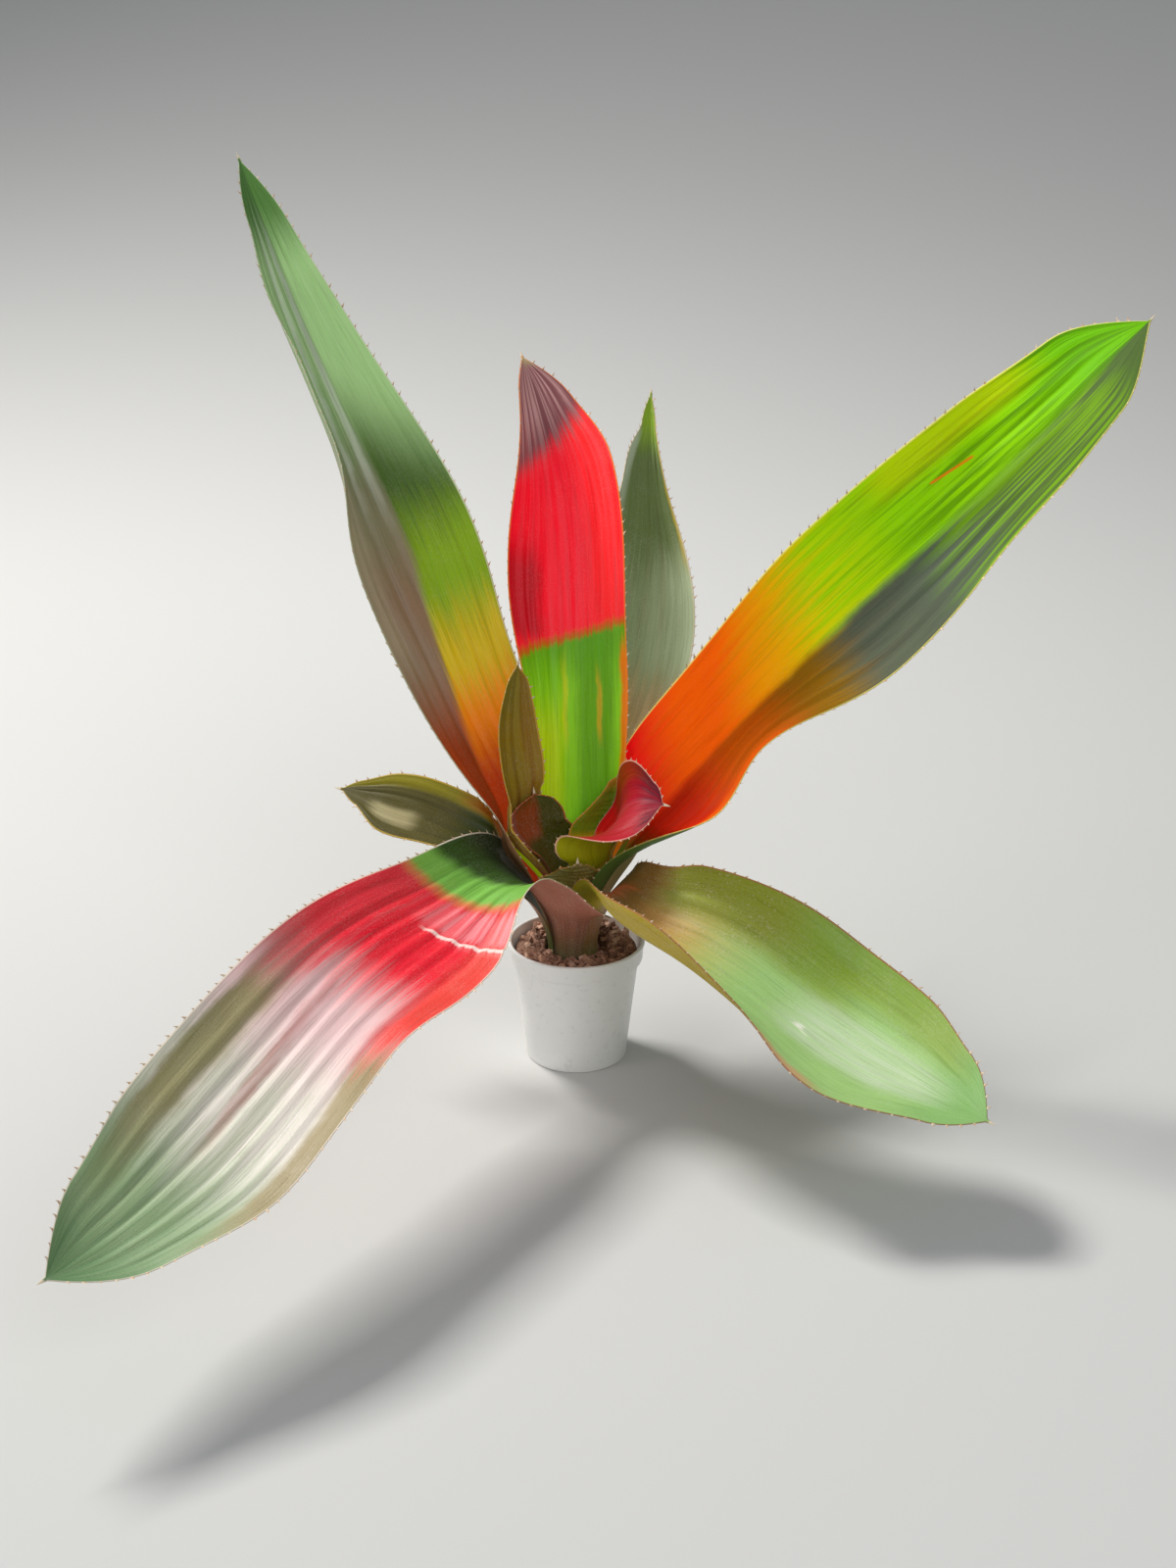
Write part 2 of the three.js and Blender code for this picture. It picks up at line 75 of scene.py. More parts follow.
bend = [(SWEEP_BACK + SWEEP_BEND * math.sin(a), SWEEP_BEND * (1 - math.cos(a)))
        for a in np.linspace(0, math.pi / 2, 49)]
profile = [(SWEEP_FRONT, 0), *bend, (SWEEP_BACK + SWEEP_BEND, SWEEP_TOP)]
sweep = mesh_object(
    "sweep",
    [(x, y, z) for y, z in profile for x in (-SWEEP_HALF, SWEEP_HALF)],
    [(2 * i, 2 * i + 1, 2 * i + 3, 2 * i + 2) for i in range(len(profile) - 1)])
paper = bpy.data.materials.new("paper sweep")
paper.use_nodes = True
paper_shader = paper.node_tree.nodes["Principled BSDF"]
paper_shader.inputs["Base Color"].default_value = SWEEP_SHADE
paper_shader.inputs["Roughness"].default_value = 0.9
sweep.data.materials.append(paper)


def soft_light(name, place, size, watts, colour):
    """A square light at place, in metres, turned to the plant's heart."""
    light = bpy.data.objects.new(name, bpy.data.lights.new(name, "AREA"))
    light.data.size, light.data.energy, light.data.color = size, watts, colour
    light.location = place
    light.rotation_euler = (light.location - HEART).to_track_quat("Z", "Y").to_euler()
    scene.collection.objects.link(light)


soft_light("key", (-0.85, 0.75, 1.6), size=0.5, watts=37, colour=(1, 0.98, 0.94))
soft_light("front_fill", (0.7, -1.6, 1.2), size=1.2, watts=10, colour=(0.97, 0.98, 1))
soft_light("left_fill", (-1.5, -0.9, 0.8), size=1.0, watts=6, colour=(1, 1, 1))
scene.world = bpy.data.worlds.new("studio")
scene.world.use_nodes = True
sky = scene.world.node_tree.nodes["Background"].inputs
sky["Color"].default_value, sky["Strength"].default_value = SKY, SKY_STRENGTH

# ------------ the pot
# A thin injection-moulded plant pot, 55 mm across the rim: a tapered cup with a stepped rim band,
# a rolled lip and four drain holes in its flat foot. White, with a faint satin gloss and scuffs.
POT_HEIGHT, POT_FOOT_R, POT_FLOOR, POT_SIDES = 50, 19.6, 1.4, 112
POT_STEP = POT_HEIGHT - 8
DRAIN_HOLES, DRAIN_HOLE_R, DRAIN_CIRCLE_R, DRAIN_SIDES = 4, 2.2, 12, 28


class Link:
    """What a node gives. + - and * on it add Math nodes."""

    def __init__(self, nodes, socket):
        self.nodes, self.socket = nodes, socket

    def math(self, operation, *others):
        return self.nodes.math(operation, self, *others)

    def __add__(self, other):
        return self.math("ADD", other)

    def __sub__(self, other):
        return self.math("SUBTRACT", other)

    def __rsub__(self, other):
        return self.nodes.math("SUBTRACT", other, self)

    def __mul__(self, other):
        return self.math("MULTIPLY", other)

    __radd__, __rmul__ = __add__, __mul__

    def step(self, start, full):
        """0 up to start and 1 from full on, with a smooth rise between them, or a fall if full < start."""
        sockets = {"Value": self, "From Min": min(start, full), "From Max": max(start, full),
                   "To Min": float(full < start), "To Max": float(start <= full)}
        return self.nodes.node("ShaderNodeMapRange", {"interpolation_type": "SMOOTHSTEP"}, sockets)


def tint(red, green, blue):
    """A colour given from 0 to 255 as on a paint card, in the linear numbers that light adds up in."""
    return (*((c / 255) ** 2.2 for c in (red, green, blue)), 1.0)


class Nodes:
    """The nodes of one material or of one geometry tree."""

    def __init__(self, tree):
        self.tree = tree

    def node(self, kind, settings=None, sockets=None, give=0):
        """A new node with its settings made first, then its sockets, as values or as links."""
        made = self.tree.nodes.new(kind)
        for name, value in (settings or {}).items():
            setattr(made, name, value)
        for name, value in (sockets or {}).items():
            if isinstance(value, Link):
                self.tree.links.new(value.socket, made.inputs[name])
            else:
                made.inputs[name].default_value = value
        return Link(self, made.outputs[give])

    def math(self, operation, *values):
        return self.node("ShaderNodeMath", {"operation": operation}, dict(enumerate(values)))

    def mix(self, share, under, over, blend="MIX"):
        """Colour over laid on colour under. A colour is another mix's, or red, green and blue."""
        under, over = (tint(*c) if isinstance(c, tuple) else c for c in (under, over))
        settings = {"data_type": "RGBA", "blend_type": blend}
        return self.node("ShaderNodeMix", settings, {0: share, 6: under, 7: over}, 2)

    def noise(self, where, scale, detail=2.0):
        sockets = {"Vector": where, "Scale": scale, "Detail": detail}
        return self.node("ShaderNodeTexNoise", None, sockets)

    def bump(self, strength, depth, height):
        """Relief that stands depth millimetres high."""
        sockets = {"Strength": strength, "Distance": depth * MM, "Height": height}
        return self.node("ShaderNodeBump", None, sockets)

    def own(self, name):
        """A number that the mesh carries."""
        return self.node("ShaderNodeAttribute", {"attribute_name": name}, None, "Fac")

    def place(self):
        return self.node("ShaderNodeTexCoord", None, None, "Object")

    def axis(self, where, number):
        return self.node("ShaderNodeSeparateXYZ", None, {0: where}, number)

    def xyz(self, x=0.0, y=0.0, z=0.0):
        return self.node("ShaderNodeCombineXYZ", None, {0: x, 1: y, 2: z})


def finish(name, make, **constants):
    """A material with what make(nodes) returns for its shader's sockets, and with constants."""
    material = bpy.data.materials.new(name)
    material.use_nodes = True
    nodes = Nodes(material.node_tree)
    shader = material.node_tree.nodes["Principled BSDF"]
    for socket, value in {**make(nodes), **constants}.items():
        socket = shader.inputs[socket.replace("_", " ")]
        if isinstance(value, Link):
            nodes.tree.links.new(value.socket, socket)
        else:
            socket.default_value = value
    return material


def turned(profile, sides):
    """Points and faces of a closed profile of (radius, height), turned about the pot's axis."""
    angles = [2 * math.pi * k / sides for k in range(sides)]
    points = [(r * math.cos(a), r * math.sin(a), z) for r, z in profile for a in angles]
    faces = []
    for i in range(len(profile)):
        below, above = i * sides, (i + 1) % len(profile) * sides
        for k in range(sides):
            on = (k + 1) % sides
            faces.append((below + k, below + on, above + on, above + k))
    return points, faces


def arc(middle_r, middle_z, radius, start, end, steps):
    """Points of a round stretch of a profile, from one angle to another, in degrees."""
    return [(middle_r + radius * math.cos(a), middle_z + radius * math.sin(a))
            for a in np.radians(np.linspace(start, end, steps))]


def made_plain(thing, name):
    """The object with its modifiers worked into a plain mesh, under its final name."""
    bpy.context.view_layer.update()
    evaluated = thing.evaluated_get(bpy.context.evaluated_depsgraph_get())
    mesh = bpy.data.meshes.new_from_object(evaluated)
    mesh.name = name
    plain = bpy.data.objects.new(name, mesh)
    scene.collection.objects.link(plain)
    bpy.data.objects.remove(thing)
    return plain


pot_profile = [
    (0.5, 0), (POT_FOOT_R - 2, 0), *arc(POT_FOOT_R - 0.2, 0.8, 0.8, -90, -10, 5),
    (22.3, 20), (24.9, POT_STEP - 0.9), *arc(25.5, POT_STEP - 0.3, 0.45, 180, 100, 4),
    *arc(26.1, POT_STEP + 0.8, 0.5, -80, 0, 4), (27.0, POT_HEIGHT - 2.2),
    *arc(26.7, POT_HEIGHT - 0.8, 0.8, -20, 180, 11),
    (25.5, POT_STEP + 3), (25.2, POT_STEP + 1.4), (24.1, POT_STEP - 0.4), (21.4, 20),
    *arc(POT_FOOT_R - 1.3, POT_FLOOR + 1, 1, 0, -90, 5), (0.5, POT_FLOOR)]
cup = mesh_object("pot_shell", *turned(pot_profile, POT_SIDES))
drill_profile = [(DRAIN_HOLE_R, -1), (DRAIN_HOLE_R, POT_FLOOR + 1), (0.01, POT_FLOOR + 1), (0.01, -1)]
drills = []
for k in range(DRAIN_HOLES):
    a = math.radians(45 + 360 / DRAIN_HOLES * k)
    points, faces = turned(drill_profile, DRAIN_SIDES)
    spot = (DRAIN_CIRCLE_R * math.cos(a), DRAIN_CIRCLE_R * math.sin(a), 0)
    drills.append(mesh_object(f"drill_{k}", np.array(points) + spot, faces))
    hole = cup.modifiers.new("drain hole", "BOOLEAN")
    hole.operation, hole.solver, hole.object = "DIFFERENCE", "EXACT", drills[-1]
pot = made_plain(cup, "pot_cup")
for drill in drills:
    bpy.data.objects.remove(drill)


def white_plastic(n):
    place = n.place()
    mottle = n.noise(place, 90, 4)
    scuffs = n.noise(place, 420, 6).step(0.56, 0.7)
    colour = n.mix(mottle * 0.5, (242, 242, 238), (229, 230, 226))
    colour = n.mix(scuffs * 0.25, colour, (205, 203, 196))
    return {"Base Color": colour, "Roughness": 0.32 + 0.2 * scuffs + 0.1 * mottle,
            "Normal": n.bump(0.15, 0.3, mottle + scuffs * 0.4)}


pot.data.materials.append(finish("white plastic", white_plastic))
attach(pot, "root")
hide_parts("pot")

# ------------ potting bark
# Coarse pine bark, heaped a little at the back. Chips of 4 to 9 mm lie all over a bed of finer bark
# that fills the pot, and the plant's foot stands in a hole in it.
BARK_TOP, BARK_HEAP, BARK_LUMP, BARK_R, BARK_SIDES = 46.5, 5, 1.1, 24.4, 96
STEM_HOLE_R, STEM_HOLE_FLOOR = 13, 38
CHIPS_ABOVE, CHIPS_REACH, CHIPS_APART, LEAST_CHIP, GREATEST_CHIP = 43.5, 21.8, 1.7, 2.1, 4.6
CHIPS_PER_SQUARE_METRE = 240000.0
CHIP_BLOCK, CHIP_LUMP, CHIP_LONG, CHIP_TIP = (1.0, 0.72, 0.42), 0.95, 1.35, 0.9


def smooth(x):
    """Rises smoothly from 0 to 1 as x goes from 0 to 1."""
    x = np.clip(x, 0, 1)
    return x * x * (3 - 2 * x)


def bark_height(x, y):
    r = math.hypot(x, y)
    heap = BARK_HEAP * smooth((y + 6) / 26) * smooth((25 - r) / 8)
    lumps = (math.sin(0.9 * x + 0.4 * y) * math.sin(0.8 * y - 0.5 * x + 1)
             + 0.6 * math.sin(1.7 * x + 0.3) * math.cos(1.5 * y))
    return BARK_TOP - 0.6 + heap + BARK_LUMP * 0.8 * lumps * smooth((BARK_R - r) / 2)


bed_rings = [(0.5, 1.8), (18.2, 1.8), (20.6, 20), (23.1, 40), (BARK_R, BARK_TOP - 2)]
bed_tops = np.linspace(BARK_R - 0.3, STEM_HOLE_R + 0.05, 12)
bed_profile = [*bed_rings, *((r, BARK_TOP) for r in bed_tops),
               (STEM_HOLE_R, STEM_HOLE_FLOOR), (0.5, STEM_HOLE_FLOOR)]
points, faces = turned(bed_profile, BARK_SIDES)
points = [(x, y, bark_height(x, y)) if z == BARK_TOP else (x, y, z) for x, y, z in points]
bed = mesh_object("bed", points, faces)


class Growth(Nodes):
    """A geometry tree with a Geometry input and output, and the named inputs, which given holds."""

    def __init__(self, name, inputs):
        super().__init__(bpy.data.node_groups.new(name, "GeometryNodeTree"))
        self.socket("Geometry", "Geometry")
        for label, (kind, value) in inputs.items():
            self.socket(label, kind, value)
        self.socket("Geometry", "Geometry", way="OUTPUT")
        group = self.tree.nodes.new("NodeGroupInput")
        self.given = {o.name: Link(self, o) for o in group.outputs if o.name}

    def socket(self, name, kind, value=None, way="INPUT"):
        made = self.tree.interface.new_socket(name, in_out=way, socket_type=f"NodeSocket{kind}")
        if value is not None:
            made.default_value = value

    def chance(self, least, most, seed):
        """A number of its own for each copy."""
        sockets = {2: least, 3: most, "Seed": seed}
        return self.node("FunctionNodeRandomValue", {"data_type": "FLOAT"}, sockets, 1)

    def moved(self, thing, offset):
        return self.node("GeometryNodeSetPosition", None, {"Geometry": thing, "Offset": offset})

    def copies(self, spots, thing, turn, size):
        sockets = {"Points": spots, "Instance": thing, "Rotation": turn, "Scale": size}
        return self.node("GeometryNodeInstanceOnPoints", None, sockets)

    def end(self, geometry, material):
        """Copies become real mesh, take the material, and leave the tree."""
        real = self.node("GeometryNodeRealizeInstances", None, {0: geometry})
        dressed = self.node("GeometryNodeSetMaterial", None, {0: real, "Material": material})
        out = self.tree.nodes.new("NodeGroupOutput")
        self.tree.links.new(dressed.socket, out.inputs["Geometry"])
        return self.tree


def worked(thing, tree, name, **inputs):
    """The thing after the tree, as a plain mesh. Inputs are set by their sockets' identifiers."""
    modifier = thing.modifiers.new(tree.name, "NODES")
    modifier.node_group = tree
    for item in tree.interface.items_tree:
        if item.in_out == "INPUT" and item.name in inputs:
            modifier[item.identifier] = inputs[item.name]
    return made_plain(thing, name)


def chip_tree():
    """Bark chips strewn on top of the bed, clear of the pot's wall, each a flake turned its own way."""
    n = Growth("bark chips", {
        "Chips per Square Metre": ("Float", CHIPS_PER_SQUARE_METRE),
        "Least Size": ("Float", LEAST_CHIP * MM), "Greatest Size": ("Float", GREATEST_CHIP * MM),
        "Reach": ("Float", CHIPS_REACH * MM), "Seed": ("Int", 4), "Bark": ("Material", None)})
    given, place = n.given, n.node("GeometryNodeInputPosition")
    x, y, z = (n.axis(place, number) for number in range(3))
    within = (x * x + y * y).math("LESS_THAN", given["Reach"] * given["Reach"])
    spread = n.node("GeometryNodeDistributePointsOnFaces", {"distribute_method": "POISSON"},
                    {"Mesh": given["Geometry"], "Seed": given["Seed"], "Distance Min": CHIPS_APART * MM,
                     "Density Max": given["Chips per Square Metre"],
                     "Selection": z.math("GREATER_THAN", CHIPS_ABOVE * MM) * within})
    block = n.node("GeometryNodeMeshCube", None,
                   {"Size": CHIP_BLOCK, "Vertices X": 4, "Vertices Y": 4, "Vertices Z": 3})
    lump = n.node("ShaderNodeTexNoise", {"noise_dimensions": "3D"},
                  {"Vector": n.node("GeometryNodeInputPosition"), "Scale": 2.6, "Detail": 3.0}, "Color")
    lump = n.node("ShaderNodeVectorMath", {"operation": "SUBTRACT"}, {0: lump, 1: (0.5, 0.5, 0.5)})
    lump = n.node("ShaderNodeVectorMath", {"operation": "SCALE"}, {0: lump, "Scale": CHIP_LUMP})
    turn = n.node("FunctionNodeRandomValue", {"data_type": "FLOAT_VECTOR"},
                  {0: (-CHIP_TIP, -CHIP_TIP, 0.0), 1: (CHIP_TIP, CHIP_TIP, 6.28), "Seed": 7})
    grow = n.chance(given["Least Size"], given["Greatest Size"], 9)
    chips = n.copies(spread, n.moved(block, lump), turn, n.xyz(grow * CHIP_LONG, grow, grow))
    chips = n.node("GeometryNodeStoreNamedAttribute", {"data_type": "FLOAT", "domain": "INSTANCE"},
                   {"Geometry": chips, "Name": "shade", "Value": n.chance(0.0, 1.0, 3)})
    joined = n.node("GeometryNodeJoinGeometry", None, {0: given["Geometry"]})
    n.tree.links.new(chips.socket, joined.socket.node.inputs[0])
    return n.end(joined, given["Bark"])


def pine_bark(n):
    place, shade = n.place(), n.own("shade")
    layers = n.noise(place, 340, 6)
    crumb = n.noise(place, 1500, 4)
    colour = n.mix(shade.step(0.1, 0.9), (132, 94, 76), (196, 150, 126))
    colour = n.mix(shade.step(0.8, 0.95) * 0.7, colour, (218, 184, 160))
    colour = n.mix(layers.step(0.42, 0.62) * 0.45, colour, (96, 64, 50))
    colour = n.mix(crumb.step(0.5, 0.7) * 0.45, colour, (222, 190, 166))
    return {"Base Color": colour, "Roughness": 0.78 + 0.2 * crumb,
            "Normal": n.bump(0.9, 0.6, layers + crumb * 0.5)}


bark = worked(bed, chip_tree(), "bark_chips", Bark=finish("pine bark", pine_bark))
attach(bark, "root")
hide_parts("potting_bark")

# ------------ the stem
# The short woody stem inside the sheaths, with the rings that fallen leaves left. It stays as the
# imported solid, in its own bark.


def ringed_stem(n):
    place = n.place()
    wobble = n.noise(place, 200, 3)
    rings = (n.axis(place, 2) * 2600 + wobble * 5).math("SINE").step(-0.2, 0.9)
    return {"Base Color": n.mix(rings, (122, 92, 60), (150, 140, 84)), "Roughness": 0.7 + 0.2 * wobble,
            "Normal": n.bump(0.5, 0.4, rings)}


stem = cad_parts["stem"]
stem.data.materials.clear()
stem.data.materials.append(finish("ringed stem", ringed_stem))

# ------------ leaf_inner_pink
# The youngest leaf of the heart, flushed pink, bent over to the right with its edges curled, with painted
# highlights in pink streaks and a plum tip that is partly painted shade. Like all the leaves it grew from
# the stem as one strap 0.7 mm thick: a sheath wrapped round the younger ones, then a cupped blade with
# saw-toothed margins and a small stiff spine for a tip.
SHEATH_R, SHEATH_PITCH, OUTER_LAYER, SHEATH_FOOT, SHEATH_LEAST_R = 10.6, 1.25, 11, 41, 2.6
FLARE_FROM, FLARE = 46, 0.0085
BLADE_STATIONS, ROLL_STATIONS = (0, 0.12, 0.28, 0.5, 0.75, 1), (0, 0.28, 0.6, 1)
TIP_STARTS, TIP_BELLY, CLASP, LEAST_HALF = 0.9, 0.55, 0.85, 0.6
ROWS, SHEATH_ROWS, COLUMNS = 61, 10, 19
SECTORS, LEVELS, LEVEL_STEP, PRESS_REACH, DENT_PASSES = 120, 62, 2, 42, 14
LEAF_GAP, MORE_GAP, MORE_FROM, MORE_OVER = 1, 0.5, 58, 16
LEAF_THICK, MARGIN_THINS, MARGIN_ROUND = 0.7, 0.4, 0.22
TIP_SPINE, SPINE_ROWS, SPINE_NARROWS, SPINE_THINS = 3.4, 8, 0.95, 0.85
ROWS_CROWD, WAVE_LENGTH, WAVE_HEIGHT = 1.1, 9, 0.45
TOOTH_SPACING, TOOTH_BASE, TOOTH_HEIGHT, TOOTH_THICK = 4.8, 1.7, 1.45, 0.5
TOOTH_HOOK, TOOTH_SINKS, TEETH_FROM, TEETH_TO = 0.42, 0.3, 0.02, 0.985
THORN_FOOT, THORN_TIP, THORN_RISE, THORN_LEAST, THORN_MOST = 0.5, 0.04, 1.3, 0.6, 1.15


def through(stations, values, t):
    """A smooth curve through the values at the stations."""
    s, v = np.asarray(stations, float), np.asarray(values, float)
    slope = np.empty_like(v)
    slope[1:-1] = (v[2:] - v[:-2]) / (s[2:] - s[:-2])
    slope[0], slope[-1] = (v[1] - v[0]) / (s[1] - s[0]), (v[-1] - v[-2]) / (s[-1] - s[-2])
    t = np.clip(t, s[0], s[-1])
    i = np.clip(np.searchsorted(s, t, side="right") - 1, 0, len(s) - 2)
    h = s[i + 1] - s[i]
    u = (t - s[i]) / h
    return ((2 * u**3 - 3 * u**2 + 1) * v[i] + (u**3 - 2 * u**2 + u) * h * slope[i]
            + (3 * u**2 - 2 * u**3) * v[i + 1] + (u**3 - u**2) * h * slope[i + 1])


def sheath_radius(layer, z):
    return SHEATH_R - SHEATH_PITCH * (OUTER_LAYER - layer) + FLARE * np.maximum(0, z - FLARE_FROM) ** 2


def sheath_foot(layer):
    inside = OUTER_LAYER - layer
    short = SHEATH_LEAST_R - (SHEATH_R - SHEATH_PITCH * inside)
    return FLARE_FROM + math.sqrt(short / FLARE) if short > 0 else SHEATH_FOOT + SHEATH_PITCH * inside


def around(radius, angle, height):
    """Points or directions, from their radius and angle round the plant's axis and their height."""
    return np.stack(np.broadcast_arrays(radius * np.cos(angle), radius * np.sin(angle), height), -1)


def form(layer, azimuth, wrap, top, length, lead, opening, rise, swing, left, right, roll, cup):
    """A leaf on a coarse grid: where it is along, its midline, and how far its width stands off that.

    The sheath follows the vase that all the leaves make, wrap degrees round it to either side. The
    blade leaves it at height top, and opens over a length of opening that starts lead before that.
    It climbs at rise degrees and heads azimuth + swing. It is tipped sideways by roll and bent to a
    trough by cup, and left and right are its half widths.
    """
    heading, round_stem, foot = math.radians(azimuth), math.radians(wrap), sheath_foot(layer)
    steepness = math.atan2(1, 2 * FLARE * max(0, top - FLARE_FROM))
    z = np.linspace(foot, top, SHEATH_ROWS)
    r = sheath_radius(layer, z)
    up = around(r, heading, z)
    climbed = np.concatenate([[0], np.cumsum(np.linalg.norm(np.diff(up, axis=0), axis=1))])
    steps = ROWS - SHEATH_ROWS
    along = np.concatenate([(climbed - climbed[-1]) / length, np.arange(1, steps + 1) / steps])
    blade = np.clip(along, 0, 1)
    climb = np.radians(through(BLADE_STATIONS, [math.degrees(steepness), *rise], blade))
    head = heading + np.radians(through(BLADE_STATIONS, [0, *swing], blade))
    climb[:SHEATH_ROWS], head[:SHEATH_ROWS] = steepness, heading
    ahead = around(np.cos(climb), head, np.sin(climb))
    middle = np.concatenate([up, up[-1] + np.cumsum(ahead[SHEATH_ROWS:], 0) * length / steps])
    turn = np.radians(through(ROLL_STATIONS, [0, *roll], blade))[:, None]
    level = np.stack([-np.sin(head), np.cos(head), 0 * head], -1)
    inward = around(-np.sin(climb), head, np.cos(climb))
    aside = level * np.cos(turn) + inward * np.sin(turn)
    facing = inward * np.cos(turn) - level * np.sin(turn)
    stations = [*BLADE_STATIONS[:-1], TIP_STARTS]
    halves = [through(stations, [round_stem * r[-1], *side], np.minimum(blade, TIP_STARTS))
              for side in (left, right)]
    mean = (halves[0] + halves[1]) / 2
    bent = np.radians(through(ROLL_STATIONS, [wrap, *cup], blade))
    v = np.linspace(-1, 1, COLUMNS)
    arc = v * (bent / mean)[:, None] * np.where(v < 0, halves[0][:, None], halves[1][:, None])
    bend = (mean / bent)[:, None]
    open_blade = (middle[:, None] + (bend * np.sin(arc))[..., None] * aside[:, None]
                  + (bend * (1 - np.cos(arc)))[..., None] * facing[:, None])
    grown = smooth((middle[:, 2] - foot) / max(6, top - foot))[:, None]
    about = heading + v * round_stem * (CLASP + (1 - CLASP) * grown)
    radius = np.hypot(middle[:, 0], middle[:, 1])[:, None]
    closed = around(radius, about, middle[:, 2:])
    free = smooth((along * length + lead) / opening)[:, None, None]
    width = closed + (open_blade - closed) * free - middle[:, None]
    return along, middle, width, mean, ahead


def closing(along, belly):
    """How the blade's width rounds off to its tip: 1 up to TIP_STARTS, and 0 at the tip."""
    past = np.clip((along - TIP_STARTS) / (1 - TIP_STARTS), 0, 1)
    return (1 - past) * (1 + belly * past)


furthest = np.zeros((SECTORS, LEVELS))


def sector_level(points):
    """Each point's direction, height and radius, and whether the leaves press on each other there."""
    sector = np.floor(np.arctan2(points[..., 1], points[..., 0]) / (2 * np.pi) * SECTORS + SECTORS)
    level = np.floor((points[..., 2] - FLARE_FROM) / LEVEL_STEP).astype(int)
    r = np.hypot(points[..., 0], points[..., 1])
    return sector.astype(int) % SECTORS, level, r, (level >= 0) & (level < LEVELS) & (r < PRESS_REACH)


def pressed(rows):
    """How much a leaf's points spread, as factors of x and y, to lie outside all the younger leaves.

    The leaves' reach so far is kept by direction and height, and this leaf's is added to it.
    """
    sector, level, r, held = sector_level(rows)
    reach = furthest[sector, np.clip(level, 0, LEVELS - 1)]
    gap = LEAF_GAP + MORE_GAP * smooth((rows[..., 2] - MORE_FROM) / MORE_OVER)
    push = np.where(held & (reach > 0), np.maximum(0, reach + gap - r), 0)
    for _ in range(DENT_PASSES):
        e = np.pad(push, 1, mode="edge")
        push = np.maximum(push, (e[:-2, 1:-1] + e[2:, 1:-1] + e[1:-1, :-2] + e[1:-1, 2:] + 4 * push) / 8)
    spread = 1 + push / np.maximum(r, 1e-6)
    outer = rows * np.stack([spread, spread, np.ones_like(spread)], -1)
    part = np.linspace(0, 1, 5)
    filled = outer[:-1] + (outer[1:] - outer[:-1]) * part[:, None, None, None]
    filled = (filled[:, :, :-1] + (filled[:, :, 1:] - filled[:, :, :-1]) * part[:, None, None, None, None])
    sector, level, r, held = sector_level(filled.reshape(-1, 3))
    sector, level, r = sector[held], level[held], r[held]
    for beside in (-1, 0, 1):
        for above in (-1, 0, 1):
            cell = ((sector + beside) % SECTORS, np.clip(level + above, 0, LEVELS - 1))
            np.maximum.at(furthest, cell, r)
    return spread


def between(grid, places):
    """A grid's rows at fractional places, on a smooth curve through its own rows."""
    first = np.clip(np.floor(places).astype(int), 0, len(grid) - 2)
    u = (places - first).reshape(-1, *[1] * (grid.ndim - 1))
    before, after = np.maximum(first - 1, 0), np.minimum(first + 2, len(grid) - 1)
    p0, p1, p2, p3 = grid[before], grid[first], grid[first + 1], grid[after]
    return 0.5 * (2 * p1 + (p2 - p0) * u + (2 * p0 - 5 * p1 + 4 * p2 - p3) * u**2
                  + (3 * p1 - p0 - 3 * p2 + p3) * u**3)


def unit(vectors):
    return vectors / np.maximum(np.linalg.norm(vectors, axis=-1, keepdims=True), 1e-9)


def facings(grid):
    """Which way each point of a grid faces: out of the leaf's upper face."""
    return unit(np.cross(np.gradient(grid, axis=0), np.gradient(grid, axis=1)))


